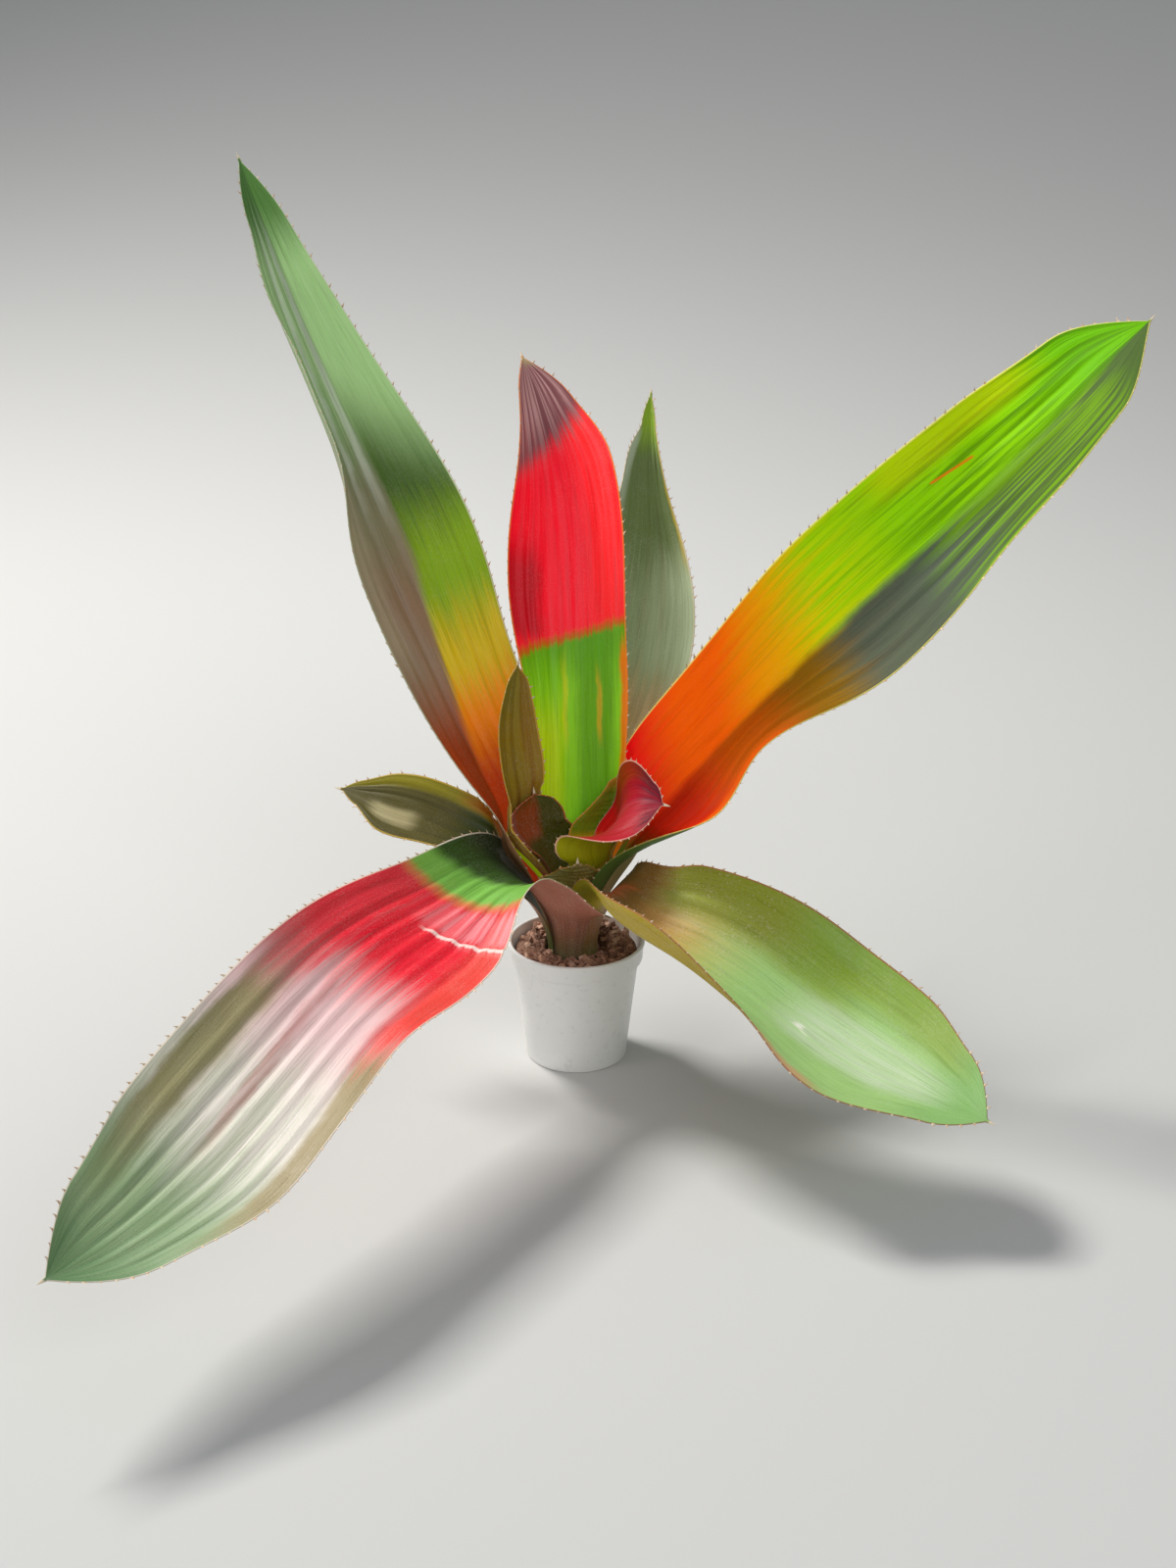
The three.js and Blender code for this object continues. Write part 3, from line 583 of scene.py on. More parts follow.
class Leaf:
    """A leaf as a fine grid. Its pleats, and a ridge if it has one, stand on the grid in millimetres."""

    def __init__(self, name, grid, pleats, ridge=None, belly=TIP_BELLY, **shape):
        self.name, self.length = name, shape["length"]
        along, middle, width, mean, ahead = form(**shape)
        self.half = float(mean.max())
        closed = np.maximum(closing(along, belly), LEAST_HALF / mean)[:, None, None]
        spread = pressed(middle[:, None] + width * closed)
        rows, columns = grid
        places = ROWS - 1 - (ROWS - 1) * np.linspace(1, 0, rows) ** ROWS_CROWD
        self.across = np.linspace(-1, 1, columns)
        lanes = (self.across + 1) / 2 * (COLUMNS - 1)

        def fine(coarse):
            return np.swapaxes(between(np.swapaxes(between(coarse, places), 0, 1), lanes), 0, 1)

        t = between(along, places)
        narrow = np.maximum(closing(t, belly), LEAST_HALF / between(mean, places))[:, None, None]
        skin = between(middle, places)[:, None] + fine(width) * narrow
        skin[..., :2] *= fine(spread)[..., None]
        spine = np.linspace(0, 1, SPINE_ROWS + 1)[1:]
        end = skin[-1].mean(0)
        skin = np.concatenate([skin, end + (skin[-1] - end) * (1 - spine * SPINE_NARROWS)[:, None, None]
                               + (ahead[-1] * TIP_SPINE * spine[:, None])[:, None]])
        self.t = np.concatenate([t, 1 + spine * TIP_SPINE / self.length])
        phases = np.random.default_rng(shape["layer"]).uniform(0, 2 * math.pi, 5)
        height = self.relief(self.t[:, None], self.across, *pleats, *phases)
        if ridge:
            height += ridge(self.t[:, None], self.across)
        self.grid = skin + facings(skin) * height[..., None]

    def relief(self, t, v, pleats, depth, a, b, c, d, e):
        """Lengthwise pleats that start on the blade and die out at the tip, and a wave in the margins.

        a to e are the leaf's own phases.
        """
        blade = smooth((t - 0.03) / 0.12) * smooth((0.99 - t) / 0.15)
        inner = 1 - np.abs(v) ** 5
        folds = (np.sin(math.pi * pleats * v + a + 0.9 * np.sin(5 * t + b))
                 + 0.5 * np.sin(math.pi * 1.8 * pleats * v + c + 0.7 * np.sin(7 * t + d)))
        wave = np.abs(v) ** 6 * np.sin(self.length / WAVE_LENGTH * t + e + 2 * np.sign(v)) * WAVE_HEIGHT
        return blade * (depth * inner * folds + wave)

    def sides(self, rows):
        """Both margins as (points, which way is outward)."""
        return [(rows[:, edge], unit(rows[:, edge] - rows[:, inner])) for edge, inner in ((0, 1), (-1, -2))]

    def skin(self):
        """The closed skin: both faces, a rounded margin between them, and numbers for its finish."""
        grid, columns = self.grid, len(self.across)
        fade = np.clip((self.t - 1) * self.length / TIP_SPINE, 0, 1)[:, None]
        thick = LEAF_THICK / 2 * (1 - MARGIN_THINS * np.abs(self.across) ** 6) * (1 - SPINE_THINS * fade)
        out = facings(grid) * thick[..., None]
        margin = MARGIN_ROUND * (1 - 0.9 * fade)
        left, right = (edge + outward * margin for edge, outward in self.sides(grid))
        rings = np.concatenate([grid + out, right[:, None], (grid - out)[:, ::-1], left[:, None]], 1)
        ring, last = 2 * columns + 2, (len(self.t) - 1) * (2 * columns + 2)
        faces = [(i + j, i + ring + j, i + ring + (j + 1) % ring, i + (j + 1) % ring)
                 for i in range(0, last, ring) for j in range(ring)]
        cap = [(j, j + 1, 2 * columns - j - 1, 2 * columns - j) for j in range(columns - 1)]
        cap += [(2 * columns, 2 * columns + 1, 0), (columns - 1, columns, columns + 1)]
        faces += cap + [tuple(last + k for k in reversed(face)) for face in cap]
        made = mesh_object(f"{self.name}_blade", rings.reshape(-1, 3), faces)
        across = np.concatenate([self.across, [1], self.across[::-1], [-1]])
        upper = np.concatenate([np.ones(columns), [0.5], np.zeros(columns), [0.5]])
        for label, values in (("along", np.repeat(self.t, ring)), ("across", np.tile(across, len(self.t))),
                              ("upper", np.tile(upper, len(self.t)))):
            made.data.attributes.new(label, "FLOAT", "POINT").data.foreach_set("value", values)
        return made

    def margins(self):
        """Both margins as lines of points from the sheath to the tip, each knowing its way outward."""
        sides = self.sides(self.grid[(self.t > TEETH_FROM) & (self.t < TEETH_TO)])
        points, outward = (np.concatenate(both) for both in zip(*sides))
        edges = [(k, k + 1) for k in range(len(points) - 1) if k + 1 != len(points) // 2]
        made = mesh_object("margins", points, edges=edges)
        made.data.attributes.new("outward", "FLOAT_VECTOR", "POINT").data.foreach_set(
            "vector", outward.ravel())
        return made


def tooth_tree():
    """Saw teeth along lines: each a flat thorn, hooked towards the leaf's tip and sunk in its margin."""
    n = Growth("margin teeth", {
        "Spacing": ("Float", TOOTH_SPACING * MM), "Base": ("Float", TOOTH_BASE * MM),
        "Height": ("Float", TOOTH_HEIGHT * MM), "Seed": ("Int", 5), "Horn": ("Material", None)})
    given = n.given
    line = n.node("GeometryNodeMeshToCurve", None, {"Mesh": given["Geometry"]})
    line = n.node("GeometryNodeResampleCurve", {"mode": "LENGTH"},
                  {"Curve": line, "Length": given["Spacing"]})
    thorn = n.node("GeometryNodeMeshCone", {"fill_type": "NGON"},
                   {"Vertices": 6, "Side Segments": 3, "Radius Top": THORN_TIP,
                    "Radius Bottom": THORN_FOOT, "Depth": THORN_RISE})
    height = n.axis(n.node("GeometryNodeInputPosition"), 2)
    hooked = n.moved(thorn, n.xyz(x=height * height * TOOTH_HOOK))
    hooked = n.moved(hooked, n.xyz(z=-TOOTH_SINKS))
    outward = n.node("GeometryNodeInputNamedAttribute", {"data_type": "FLOAT_VECTOR"}, {"Name": "outward"})
    turn = n.node("FunctionNodeAxesToRotation", {"primary_axis": "Z", "secondary_axis": "X"},
                  {0: outward, 1: n.node("GeometryNodeInputTangent")})
    own = n.chance(THORN_LEAST, THORN_MOST, given["Seed"])
    size = n.xyz(own * given["Base"], TOOTH_THICK * MM, own * given["Height"])
    return n.end(n.copies(line, hooked, turn, size), given["Horn"])


margin_teeth = tooth_tree()


class Skin(Nodes):
    """The nodes of a leaf's skin, with its places and its grain as numbers.

    along is 0 where the blade leaves the sheath and 1 at the tip, across runs from -1 to 1 between
    the margins, and upper is 1 on the upper face. Streaks and fibres run with the leaf's length.
    """

    def __init__(self, tree, leaf):
        super().__init__(tree)
        self.along, self.across, self.upper = (self.own(name) for name in ("along", "across", "upper"))
        broad, face = self.across * leaf.half, self.upper * 40 + leaf.length
        self.from_sheath = self.along * leaf.length
        lanes = self.xyz(broad, self.from_sheath * 0.03, face)
        spots = self.xyz(broad, self.from_sheath, face)
        self.streak = self.noise(lanes, 0.45, 3)
        self.fibre = self.noise(lanes, 1.5, 3)
        self.mottle = self.noise(spots, 0.09, 4)
        self.grain = self.noise(spots, 1.3, 3)

    def band(self, x, start, full, fade=None, end=None):
        """A step from start to full, which may fall again from fade to end."""
        rise = x.step(start, full)
        return rise if end is None else rise * x.step(end, fade)

    def coat(self, *colour):
        return Coat(self, colour)


class Coat:
    """The colour of a leaf, laid on in washes, each over the ones before it."""

    def __init__(self, skin, colour):
        self.skin, self.colour = skin, colour

    def lay(self, mask, over):
        """A colour, or another coat's, goes on where mask is 1."""
        over = over.colour if isinstance(over, Coat) else over
        self.colour = self.skin.mix(mask, self.colour, over)
        return self

    def wash(self, over, along=None, across=None, share=1.0, lean=0.0, drift=0.0, ragged=0.05, streaky=0.0):
        """A wash in a band along the leaf and a band across it.

        The band along slants by lean from midrib to margin, and its ends run out in streaks, ragged
        long. The band across drifts sideways towards the tip. A streaky wash lies on some streaks only.
        """
        n, mask = self.skin, share
        if along:
            x = n.along + ragged * (n.fibre + n.streak - 1)
            mask = n.band(x + lean * n.across if lean else x, *along) * mask
        if across:
            y = n.across + 0.12 * (n.mottle - 0.5)
            mask = n.band(y - drift * n.along if drift else y, *across) * mask
        if streaky:
            mask = mask * (1 - streaky + streaky * n.streak.step(0.42, 0.6))
        return self.lay(mask, over)


HORN, SCALES, DULL_GREEN, VEIN_DARK = (222, 206, 176), (214, 216, 202), (132, 138, 98), (196, 196, 190)
SHEATH_PINK, SHEATH_BROWN, SHEATH_GREEN = (140, 84, 64), (96, 60, 44), (74, 88, 42)
MARGIN_LINE, UNDER_FADES = 0.5, (85, 150)


def leaf_skin(leaf, paint, edge=HORN, bloom=0.12, under=None, rough=0.38, shine=0.28, glow=0.1,
              lit=None):
    """The finish of a leaf: its own colours, its veins, silver scales in fine bands, and its edge.

    under is the underside's colour as far as the blade's middle. glow is the strength of a painted glow, the
    leaf giving off its own colour to stand in for light from behind shining through the thin blade, and lit
    says where; without lit the whole leaf glows.
    """

    def make(nodes):
        n = Skin(nodes.tree, leaf)
        coat = paint(n)
        grey = n.mix(0.5, coat.colour, DULL_GREEN)
        grey = n.mix(n.from_sheath.step(*UNDER_FADES), under, grey) if under else grey
        coat.lay(1 - n.upper, grey)
        sheath = n.mix(n.from_sheath.step(-30, -8), SHEATH_GREEN, SHEATH_PINK)
        sheath = n.mix(n.streak.step(0.4, 0.62) * 0.4, sheath, SHEATH_BROWN)
        coat.lay((n.from_sheath + 12 * (n.streak - 0.5)).step(2, -9) * (1 - n.upper) * 0.9, sheath)
        scales = (n.mottle.step(0.35, 0.7) * 0.6 + 0.4) * n.grain.step(0.4, 0.66)
        coat.lay(scales * bloom * (1.3 - 0.6 * n.upper), SCALES)
        dark = n.mix(1.0, coat.colour, VEIN_DARK, "MULTIPLY")
        coat.lay(n.fibre.step(0.45, 0.72) * 0.4, dark)
        coat.lay(n.streak.step(0.5, 0.68) * 0.16, dark)
        line = MARGIN_LINE / leaf.half
        rim = (n.across.math("ABSOLUTE") + 0.3 * line * n.fibre).step(1 - 1.5 * line, 1 - 0.4 * line)
        coat.lay(rim * n.along.step(0.03, 0.12) * 0.75, edge)
        coat.lay(n.from_sheath.step(leaf.length + 0.1, leaf.length + 1.2), HORN)
        relief = n.fibre * 0.5 + n.streak * 0.6 + scales * 0.12
        # Painted glow: the leaf gives off its own colour, standing in for light through the blade.
        painted_glow_colour = n.mix(lit(n), (0, 0, 0), coat.colour) if lit else coat.colour
        return {"Base Color": coat.colour, "Emission Color": painted_glow_colour,
                "Normal": n.bump(0.55, 0.5, relief),
                "Roughness": rough + 0.16 * n.mottle + 0.12 * scales - 0.1 * n.fibre}

    return finish(leaf.name, make, Specular_IOR_Level=shine, Emission_Strength=glow)


def horn(n):
    grain = n.noise(n.place(), 900, 2)
    return {"Base Color": n.mix(grain.step(0.4, 0.6), HORN, (190, 150, 112)), "Roughness": 0.4 + 0.2 * grain}


horn_teeth = finish("horn", horn)


def plant_leaf(name, paint, looks, **shape):
    """The leaf's skin and its teeth, each as one plain mesh. Young leaves have smaller teeth."""
    leaf = Leaf(name, **shape)
    skin = leaf.skin()
    skin.data.materials.append(leaf_skin(leaf, paint, **looks))
    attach(skin, "root")
    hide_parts(name)
    grown = min(1, 0.4 + leaf.length / 150) * MM
    teeth = worked(leaf.margins(), margin_teeth, f"{name}_teeth", Horn=horn_teeth,
                   Spacing=TOOTH_SPACING * grown, Base=TOOTH_BASE * grown, Height=TOOTH_HEIGHT * grown)
    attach(teeth, "root")


def inner_pink(n):
    coat = n.coat(178, 22, 44)
    coat.wash((228, 30, 32), along=(0.5, 0.2))
    coat.wash((168, 50, 26), along=(0.25, 0.4, 0.85, 0.95), across=(0.5, 0.72))
    # Plum towards the tip: its own colour, darkened by painted shade.
    coat.wash((84, 28, 44), along=(0.7, 0.9), share=0.85, streaky=0.5)
    # Painted highlights in pink streaks.
    coat.wash((240, 120, 136), across=(-0.6, -0.3, 0.0, 0.3), share=0.2, streaky=0.8)
    return coat.wash((156, 160, 36), along=(0.16, 0.0))


plant_leaf(
    "leaf_inner_pink", inner_pink, grid=(110, 44), pleats=(6, 0.14),
    layer=1, azimuth=336, wrap=78, top=85, length=43, lead=3, opening=14,
    rise=[84, 69, 55, 29, -7], swing=[2, -9, -8, 2, 4], left=[24, 24, 23, 16.5, 11.5],
    right=[22, 24, 23.5, 20, 8.5], roll=[2, 29, 48], cup=[58, 24, 22],
    looks=dict(edge=(240, 176, 160), bloom=0.02, shine=0.12, under=(150, 146, 20)))

# ------------ leaf_inner_green
# A narrow young leaf that stands nearly straight at the back of the heart, olive with a golden tip.
# Its sheath wraps the pink leaf's.


def inner_green(n):
    coat = n.coat(112, 138, 18)
    coat.wash((206, 164, 24), along=(0.22, 0.05))
    coat.wash((84, 88, 18), across=(-0.1, -0.5), share=0.7)
    return coat.wash((188, 132, 30), along=(0.72, 0.92), share=0.9)


plant_leaf(
    "leaf_inner_green", inner_green, grid=(90, 36), pleats=(5, 0.12),
    layer=2, azimuth=44, wrap=60, top=85, length=30, lead=3, opening=14,
    rise=[73, 69, 70, 71, 72], swing=[0, 1, 2, 2, 1], left=[13.5, 12.5, 10, 6.5, 3.5],
    right=[13.5, 12.5, 8.5, 4.5, 3], roll=[12, 14, -1], cup=[56, 41, 45],
    looks=dict(edge=(214, 150, 60)))

# ------------ leaf_inner_arched
# A young leaf that stands up and arches over to the left, brown-orange with a purplish end, and dark
# green along one side, where painted shade darkens its own green. Its sheath wraps the two younger ones.


def inner_arched(n):
    coat = n.coat(136, 66, 26)
    coat.wash((112, 68, 16), along=(0.7, 0.95))
    # Dark green side: its own green, darkened by painted shade.
    coat.wash((60, 74, 20), across=(0.05, -0.3), share=0.9)
    coat.wash((122, 78, 80), across=(0.75, 0.95), share=0.7)
    return coat.wash((66, 72, 20), along=(0.3, 0.1), share=0.9)


plant_leaf(
    "leaf_inner_arched", inner_arched, grid=(90, 36), pleats=(5, 0.12),
    layer=3, azimuth=152, wrap=60, top=87, length=22, lead=3, opening=14,
    rise=[65, 68, 85, 90, 84], swing=[-2, -9, -10, -10, -6], left=[15.5, 13, 12.5, 11, 8],
    right=[15.5, 12, 12.5, 13, 9], roll=[-23, -26, -26], cup=[48, 42, 38],
    looks=dict(edge=(186, 96, 52), under=(120, 60, 34)))

# ------------ leaf_inner_left
# A narrow upright leaf left of the heart, olive gold, with the light through its edge painted on. It clasps
# the three younger ones together with the stub in front.


def inner_left(n):
    coat = n.coat(124, 104, 14)
    coat.wash((104, 98, 14), along=(0.62, 0.9))
    coat.wash((146, 100, 18), across=(-0.2, -0.6), share=0.5)
    coat.wash((104, 58, 18), along=(0.42, 0.2))
    return coat.wash((160, 140, 40), share=0.4, streaky=1.0)


plant_leaf(
    "leaf_inner_left", inner_left, grid=(130, 36), pleats=(5, 0.14),
    layer=4, azimuth=162, wrap=60, top=86, length=78, lead=6, opening=20,
    rise=[72, 76, 82, 93, 102], swing=[0, -1, 0, -2, -1], left=[9.5, 10.5, 12.5, 10, 6.5],
    right=[9.5, 11.5, 12, 10.5, 7], roll=[-25, -25, -30], cup=[52, 48, 37],
    looks=dict(edge=(206, 168, 70), under=(128, 100, 28)))

# ------------ leaf_inner_front
# The stub of a young leaf in front of the heart, a small olive dome with an orange margin. It grows
# from the same ring of the stem as the upright one on the left.


def inner_front(n):
    coat = n.coat(104, 96, 26)
    coat.wash((86, 82, 18), along=(0.5, 0.8))
    return coat.wash((196, 106, 40), across=(-0.72, -0.9), share=0.8)


plant_leaf(
    "leaf_inner_front", inner_front, grid=(80, 36), pleats=(5, 0.1),
    layer=4, azimuth=272, wrap=60, top=76, length=14, lead=3, opening=14,
    rise=[68, 70, 71, 75, 78], swing=[1, 1, 1, 1, 0], left=[15.5, 10.5, 8, 6, 3.5],
    right=[15.5, 9.5, 7, 5.5, 3.5], roll=[4, 1, 0], cup=[65, 56, 50],
    looks=dict(edge=(206, 140, 70), under=(112, 100, 40)))

# ------------ leaf_centre_back
# The big leaf that stands behind the heart: lime green at its base, blood red above a sharp line, and
# plum at the tip, where pale streaks run together into a yellowish spine. A patch of painted shadow
# darkens the red low on its left.


def centre_back(n):
    coat = n.coat(130, 198, 14)
    coat.wash((178, 212, 14), along=(0.32, 0.2), across=(-0.1, 0.25))
    coat.wash((82, 140, 10), across=(-0.85, -0.65, -0.3, -0.1), share=0.7)
    coat.wash((84, 150, 12), along=(0.28, 0.4), share=0.8)
    coat.wash((206, 206, 14), along=(0.16, 0.25, 0.3, 0.4), across=(-0.07, -0.01, 0.02, 0.08), share=0.6)
    coat.wash((206, 160, 14), along=(0.18, 0.24, 0.29, 0.36), across=(-0.58, -0.54, -0.51, -0.47), share=0.7)
    coat.wash((230, 118, 14), along=(0.42, 0.36), across=(-0.84, -0.93))
    red = n.coat(254, 8, 42)
    red.wash((252, 36, 26), across=(-0.1, -0.7), share=0.6)
    # A patch of painted shadow that darkens the red.
    red.wash((186, 6, 30), along=(0.38, 0.42, 0.52, 0.62), across=(0.2, 0.5))
    red.wash((253, 84, 96), share=0.2, streaky=1.0)
    coat.wash((190, 96, 10), along=(0.388, 0.402), lean=0.035, ragged=0.03)
    coat.wash(red, along=(0.4, 0.418), lean=0.035, ragged=0.03)
    coat.wash((110, 52, 60), along=(0.76, 0.82), lean=0.075)
    coat.wash((204, 156, 152), along=(0.74, 0.9), share=0.8, lean=0.075, streaky=0.8)
    return coat.wash((198, 180, 130), along=(0.97, 1.0))


plant_leaf(
    "leaf_centre_back", centre_back, grid=(190, 52), pleats=(7, 0.3),
    layer=5, azimuth=100, wrap=75, top=85, length=204.5, lead=6, opening=30,
    rise=[78, 72.5, 64.5, 53.5, 44.5], swing=[-4.5, -5.5, -7, 6.5, 14.5], left=[25.5, 26.5, 27, 26, 15.5],
    right=[25.5, 25.5, 30, 21, 17], roll=[18, 4.5, 27.5], cup=[63, 58.5, 58],
    looks=dict(edge=(226, 120, 40), bloom=0.05, rough=0.4, glow=0.25))

# ------------ leaf_right
# The longest sweep of colour, a broad leaf out to the right: red at the base, then orange, yellow and
# lime up to a bright green tip, and a hooked white spine. Its upper half has a painted glow, and its
# lower half painted shade in slate green, brown and rust.


def right_leaf(n):
    coat = n.coat(140, 206, 0)
    coat.wash((214, 208, 4), along=(0.62, 0.4))
    coat.wash((150, 210, 0), along=(0.34, 0.42, 0.5, 0.6), share=0.8, streaky=0.9)
    coat.wash((236, 160, 0), along=(0.46, 0.34), lean=-0.06)
    coat.wash((252, 98, 6), along=(0.36, 0.23), lean=-0.08)
    coat.wash((250, 22, 28), along=(0.2, 0.08), lean=-0.06)
    coat.wash((104, 178, 0), along=(0.76, 0.92))
    coat.wash((78, 128, 2), along=(0.5, 0.7), share=0.7, streaky=1.0)
    coat.wash((196, 204, 0), along=(0.56, 0.64, 0.8, 0.9), across=(0.55, 0.8), share=0.6)
    # Painted shade for the lower half: slate and grey-blue with lime streaks, then brown, rust and red
    # towards the base.
    painted_shade_half = n.coat(80, 98, 56)
    painted_shade_half.wash((84, 86, 84), along=(0.36, 0.46, 0.6, 0.74))
    painted_shade_half.wash((128, 182, 6), along=(0.56, 0.68, 0.88, 0.96), share=0.75, streaky=1.0)
    painted_shade_half.wash((146, 96, 16), along=(0.48, 0.38))
    painted_shade_half.wash((206, 90, 0), along=(0.38, 0.28))
    painted_shade_half.wash((206, 38, 10), along=(0.26, 0.14))
    # The painted shade goes on the lower half of the blade, below a slanting line.
    coat.wash(painted_shade_half, across=(-0.02, -0.18), share=0.94, drift=0.2)
    coat.wash((236, 96, 14), along=(0.02, 0.06, 0.26, 0.36), across=(-0.8, -0.95))
    scratch = n.band(n.across - 0.5 + 1.15 * (n.along - 0.67), -0.018, -0.01, 0.01, 0.018)
    coat.lay(n.band(n.along, 0.665, 0.67, 0.728, 0.734) * scratch * 0.9, (226, 120, 20))
    return coat.wash((96, 118, 40), along=(0.1, 0.03), ragged=0.03)


def right_lit(n):
    """The upper half of the blade, where light comes through and the painted glow goes."""
    return (n.across - 0.2 * n.along).step(-0.16, 0.0)


plant_leaf(
    "leaf_right", right_leaf, grid=(240, 56), pleats=(7, 0.35), belly=0.93,
    layer=6, azimuth=11, wrap=78, top=75, length=299, lead=6, opening=34,
    rise=[45, 47, 44, 44, 53], swing=[10, -9, -8, -3, -11.5], left=[35, 16.5, 36, 28, 34.5],
    right=[27, 30.5, 37, 34.5, 30.5], roll=[52, 44, 13], cup=[35, 39, 28],
    # The pale yellow edge is partly a painted highlight along the margins.
    looks=dict(edge=(238, 226, 120), bloom=0.02, rough=0.5, under=(92, 124, 60), shine=0.04, glow=0.22,
               lit=right_lit))

# ------------ leaf_back_right
# A narrow leaf behind, right of the centre: grey-olive under a silver bloom, with a bright green tip,
# a yellow dry edge and a warm, pale base.


def back_right(n):
    coat = n.coat(104, 122, 66)
    coat.wash((142, 178, 34), along=(0.82, 0.93))
    coat.wash((132, 150, 106), along=(0.66, 0.48))
    coat.wash((178, 150, 106), along=(0.4, 0.26))
    coat.wash((176, 192, 150), along=(0.3, 0.4, 0.54, 0.66), across=(0.1, -0.5), share=0.8, streaky=0.4)
    coat.wash((188, 198, 170), along=(0.62, 0.72, 0.86, 0.92), across=(0.5, 0.75), share=0.8)
    return coat.wash((198, 170, 44), along=(0.55, 0.65), across=(-0.84, -0.95), share=0.8)


plant_leaf(
    "leaf_back_right", back_right, grid=(190, 48), pleats=(6, 0.3),
    layer=7, azimuth=75, wrap=70, top=83, length=214, lead=6, opening=30,
    rise=[59, 55, 44, 40, 38], swing=[-10, -10, 4, 14, 9], left=[13, 26, 22.5, 9, 3.5],
    right=[13, 24.5, 28, 20.5, 5.5], roll=[13, 23, 23], cup=[38, 52, 45],
    looks=dict(bloom=0.18))

# ------------ leaf_back_left
# The tall leaf at the back left, folded along a ridge: silvery green and then brown on the left of it,
# the silver partly a painted sheen with painted highlights in two lines, and on the right dark green that
# turns lime, orange and rust towards the base, partly its own colour and partly painted light shining
# through, where it also has a painted glow.


def back_left(n):
    # The pale silvery green is partly a painted sheen.
    coat = n.coat(182, 218, 150)
    coat.wash((86, 132, 62), along=(0.84, 0.94))
    coat.wash((150, 148, 114), along=(0.66, 0.52))
    coat.wash((158, 132, 106), along=(0.5, 0.36))
    # A painted sheen, pale tan, along the left of the lower blade.
    coat.wash((186, 174, 146), along=(0.26, 0.34, 0.5, 0.62), across=(0.45, 0.75), share=0.7)
    coat.wash((176, 66, 22), along=(0.3, 0.16))
    coat.wash((92, 128, 72), along=(0.5, 0.6), share=0.4, streaky=1.0)
    # Painted highlights in two lines down the blade, where light catches its folds.
    for ridge in (0.05, 0.4):
        coat.wash((222, 230, 212), along=(0.45, 0.58, 0.86, 0.94),
                  across=(ridge - 0.12, ridge - 0.02, ridge, ridge + 0.1), share=0.5)
    # Right of the ridge: its own greens, lime, orange and rust, partly painted light shining through the
    # blade.
    warm = n.coat(70, 96, 38)
    warm.wash((164, 204, 134), along=(0.56, 0.74), lean=-0.08)
    warm.wash((82, 126, 56), along=(0.84, 0.94))
    warm.wash((122, 160, 0), along=(0.54, 0.42))
    warm.wash((200, 174, 0), along=(0.39, 0.29))
    warm.wash((238, 126, 8), along=(0.29, 0.2))
    warm.wash((190, 56, 12), along=(0.21, 0.12))
    return coat.lay(back_left_warm(n), warm)


def back_left_warm(n):
    """Right of the ridge, and all of the blade's base, where light comes through: the colours there are
    partly painted light, and the painted glow goes there.
    """
    across = n.across + 0.16 * (n.streak - 0.5)
    return (across + 1.6 * n.along).step(0.68, 0.52).math("MAXIMUM", across.step(-0.02, -0.16))


def back_left_ridge(t, v):
    fold = np.exp(-((v + 0.48) / 0.1) ** 2) + 0.6 * np.exp(-((v - 0.25) / 0.12) ** 2)
    return 1.1 * fold * smooth((t - 0.3) / 0.2) * smooth((0.95 - t) / 0.2)


plant_leaf(
    "leaf_back_left", back_left, grid=(240, 56), pleats=(7, 0.4), ridge=back_left_ridge,
    layer=8, azimuth=139, wrap=75, top=77, length=318, lead=6, opening=34,
    rise=[50.5, 56, 54.5, 55, 62], swing=[-1.5, -4.5, -4.5, -4, -5.5], left=[23, 25.5, 32.5, 20.5, 11.5],
    right=[24, 23.5, 34.5, 21.5, 8], roll=[-21.5, 6.5, -12.5], cup=[34, 58.5, 29],
    looks=dict(edge=(206, 214, 180), bloom=0.07, glow=0.25, lit=back_left_warm))

# ------------ leaf_front_right
# A broad leaf that arches down to the right, pale green under a silver bloom with a painted sheen down its
# middle, olive brown along its upper base, with dry white scars from rubbing.


def front_right(n):
    coat = n.coat(152, 190, 114)
    coat.wash((132, 178, 102), along=(0.82, 0.94))
    # A painted sheen down the middle of the blade.
    coat.wash((190, 208, 172), along=(0.5, 0.62, 0.84, 0.95), across=(-0.5, -0.2, 0.15, 0.45), share=0.85,
              streaky=0.4)
    coat.wash((132, 158, 58), along=(0.96, 0.84), across=(0.35, 0.7), share=0.85)
    coat.wash((134, 158, 40), along=(0.38, 0.5, 0.56, 0.7), across=(0.1, 0.4, 0.65, 0.85), share=0.75)
    coat.wash((178, 164, 88), along=(0.48, 0.26))
    coat.wash((138, 144, 50), along=(0.12, 0.22, 0.4, 0.54), across=(0.1, 0.5))
    coat.wash((192, 146, 80), along=(0.36, 0.2), across=(0.4, 0.0))
    coat.wash((128, 92, 40), along=(0.22, 0.12))
    coat.wash((206, 104, 62), along=(0.13, 0.05), across=(0.5, 0.2))
    scratches = (n.grain * n.fibre).step(0.34, 0.4)
    coat.lay(n.band(n.along, 0.1, 0.16, 0.4, 0.5) * scratches * 0.5, (214, 196, 160))
    coat.wash((236, 236, 220), along=(0.585, 0.597, 0.607, 0.618), across=(-0.23, -0.2, -0.16, -0.13),
              share=0.85, ragged=0.06, streaky=0.6)
    return coat.wash((206, 136, 110), along=(0.5, 0.58, 0.7, 0.78), across=(-0.82, -0.93), share=0.7)


plant_leaf(
    "leaf_front_right", front_right, grid=(200, 56), pleats=(6, 0.3),
    layer=9, azimuth=318, wrap=60, top=69, length=192, lead=6, opening=24,
    rise=[-1, -6.5, -23, -10, -8.5], swing=[-18, 3, 4.5, -1, 4], left=[22, 38, 37, 37.5, 16.5],
    right=[18, 29, 35, 33, 20.5], roll=[22, 12.5, 17.5], cup=[94, 50, 12],
    looks=dict(edge=(160, 96, 70), bloom=0.14, under=(172, 150, 12)))
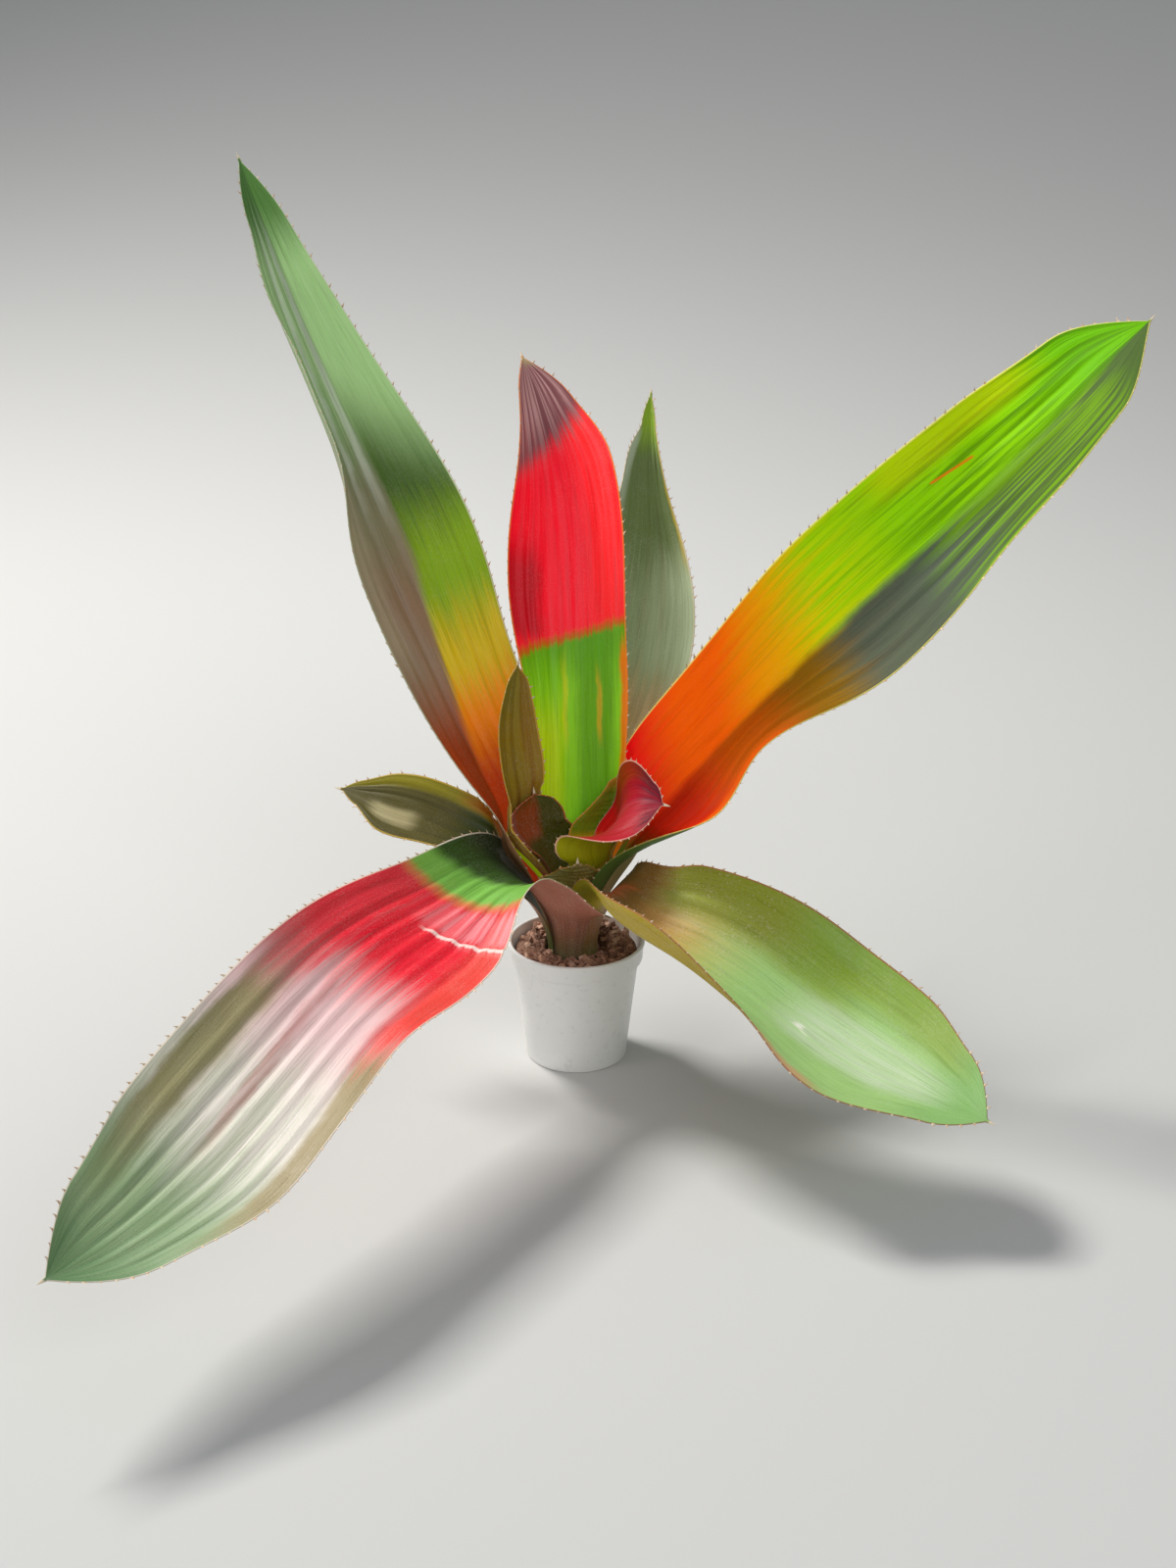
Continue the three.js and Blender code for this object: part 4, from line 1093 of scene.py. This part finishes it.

# ------------ leaf_front_left
# The widest leaf, arching down to the front left: a trough darkened by painted shade, its green lip
# made brighter by painted light, then vivid red past a white crease with a painted pink highlight before
# it, silver and pink along the middle that are partly a painted reflection, and sage green, with olive
# edges.


def front_left(n):
    # The pale silver and pink that show in the middle of the blade are partly a painted reflection.
    coat = n.coat(212, 204, 194)
    coat.wash((132, 158, 116), along=(0.68, 0.86))
    coat.wash((76, 118, 72), along=(0.86, 1.0))
    coat.wash((150, 168, 124), along=(0.5, 0.66), share=0.3, streaky=1.0)
    coat.wash((222, 184, 184), along=(0.66, 0.48))
    coat.wash((140, 120, 66), along=(0.46, 0.56, 0.76, 0.9), across=(0.4, 0.56), share=0.9, drift=0.39)
    coat.wash((132, 126, 70), along=(0.4, 0.54, 0.7, 0.94), across=(-0.94, -0.84, -0.6, -0.4), share=0.85)
    coat.wash((176, 100, 96), along=(0.36, 0.46, 0.66, 0.8), across=(-0.5, -0.43, -0.39, -0.28), share=0.55,
              drift=0.5, streaky=0.4)
    coat.wash((170, 84, 80), along=(0.28, 0.34, 0.44, 0.54), across=(-0.35, -0.6), share=0.8)
    red = n.coat(226, 18, 48)
    red.wash((216, 50, 62), across=(-0.4, -0.7), share=0.8)
    red.wash((228, 70, 58), across=(0.5, 0.8), share=0.8)
    reaches = ((0.48, 0.34), (-0.5, -0.4)), ((0.5, 0.36), (-0.3, -0.5)), ((0.58, 0.46), (0.5, 0.75))
    for along, across in reaches:
        coat.wash(red, along=along, across=across, ragged=0.1)
    # Painted pink highlight on the red before the crease.
    coat.wash((242, 150, 158), along=(0.165, 0.19, 0.235, 0.26), across=(-0.5, 0.1), share=0.75, lean=0.016,
              streaky=0.6)
    coat.wash((244, 224, 216), along=(0.2495, 0.2535, 0.2565, 0.2605), across=(-0.15, 0.1), share=0.85,
              lean=0.016, ragged=0.004)
    coat.wash((206, 120, 70), along=(0.186, 0.164), lean=0.03, ragged=0.01)
    # A bright green lip, its own green made brighter by painted light.
    coat.wash((118, 180, 72), along=(0.17, 0.15), lean=0.03, ragged=0.01)
    # Painted shade: the trough inside the lip darkens to near black.
    coat.wash((46, 78, 18), along=(0.112, 0.086), lean=0.05, ragged=0.01)
    return coat.wash((30, 44, 14), along=(0.08, 0.03), lean=0.05, ragged=0.01)


def front_left_crease(t, v):
    line = 0.255 - 0.016 * v
    return 0.8 * np.exp(-((t - line) / 0.006) ** 2) * smooth((v + 0.2) / 0.5)


plant_leaf(
    "leaf_front_left", front_left, grid=(240, 60), pleats=(8, 0.4), ridge=front_left_crease,
    layer=10, azimuth=214, wrap=80, top=71, length=290, lead=6, opening=26,
    rise=[-2, 2.5, -10.5, -13.5, 3], swing=[17, 26, 30, 26.5, 24.5], left=[25.5, 30.5, 34.5, 32, 21],
    right=[20, 34.5, 31.5, 34.5, 21], roll=[-24.5, -19, -34.5], cup=[28, 29, 34.5],
    looks=dict(edge=(228, 214, 196), bloom=0.15, under=(164, 98, 78)))

# ------------ leaf_left
# A short leaf that leans out to the left behind, olive brown, with a yellow-green upper edge. It is
# the outermost, and its sheath is the narrowest.


def left_leaf(n):
    coat = n.coat(82, 76, 34)
    coat.wash((52, 62, 24), along=(0.5, 0.3))
    coat.wash((140, 130, 22), across=(-0.45, -0.7), share=0.85)
    coat.wash((180, 96, 24), along=(0.5, 0.3), across=(-0.5, -0.8), share=0.8)
    return coat.wash((190, 178, 132), along=(0.55, 0.65, 0.78, 0.88), across=(0.1, 0.3, 0.55, 0.75),
                     share=0.75, streaky=0.3)


plant_leaf(
    "leaf_left", left_leaf, grid=(140, 40), pleats=(5, 0.18),
    layer=11, azimuth=177, wrap=40, top=79, length=83, lead=6, opening=20,
    rise=[44, 23, 22, 8, 6], swing=[3, -9, -11, -11, -11], left=[10, 13, 13, 11, 5.5],
    right=[10, 11, 16, 17, 7], roll=[-30, -42, -33], cup=[32, 23, 27],
    looks=dict(edge=(190, 156, 60), bloom=0.05))
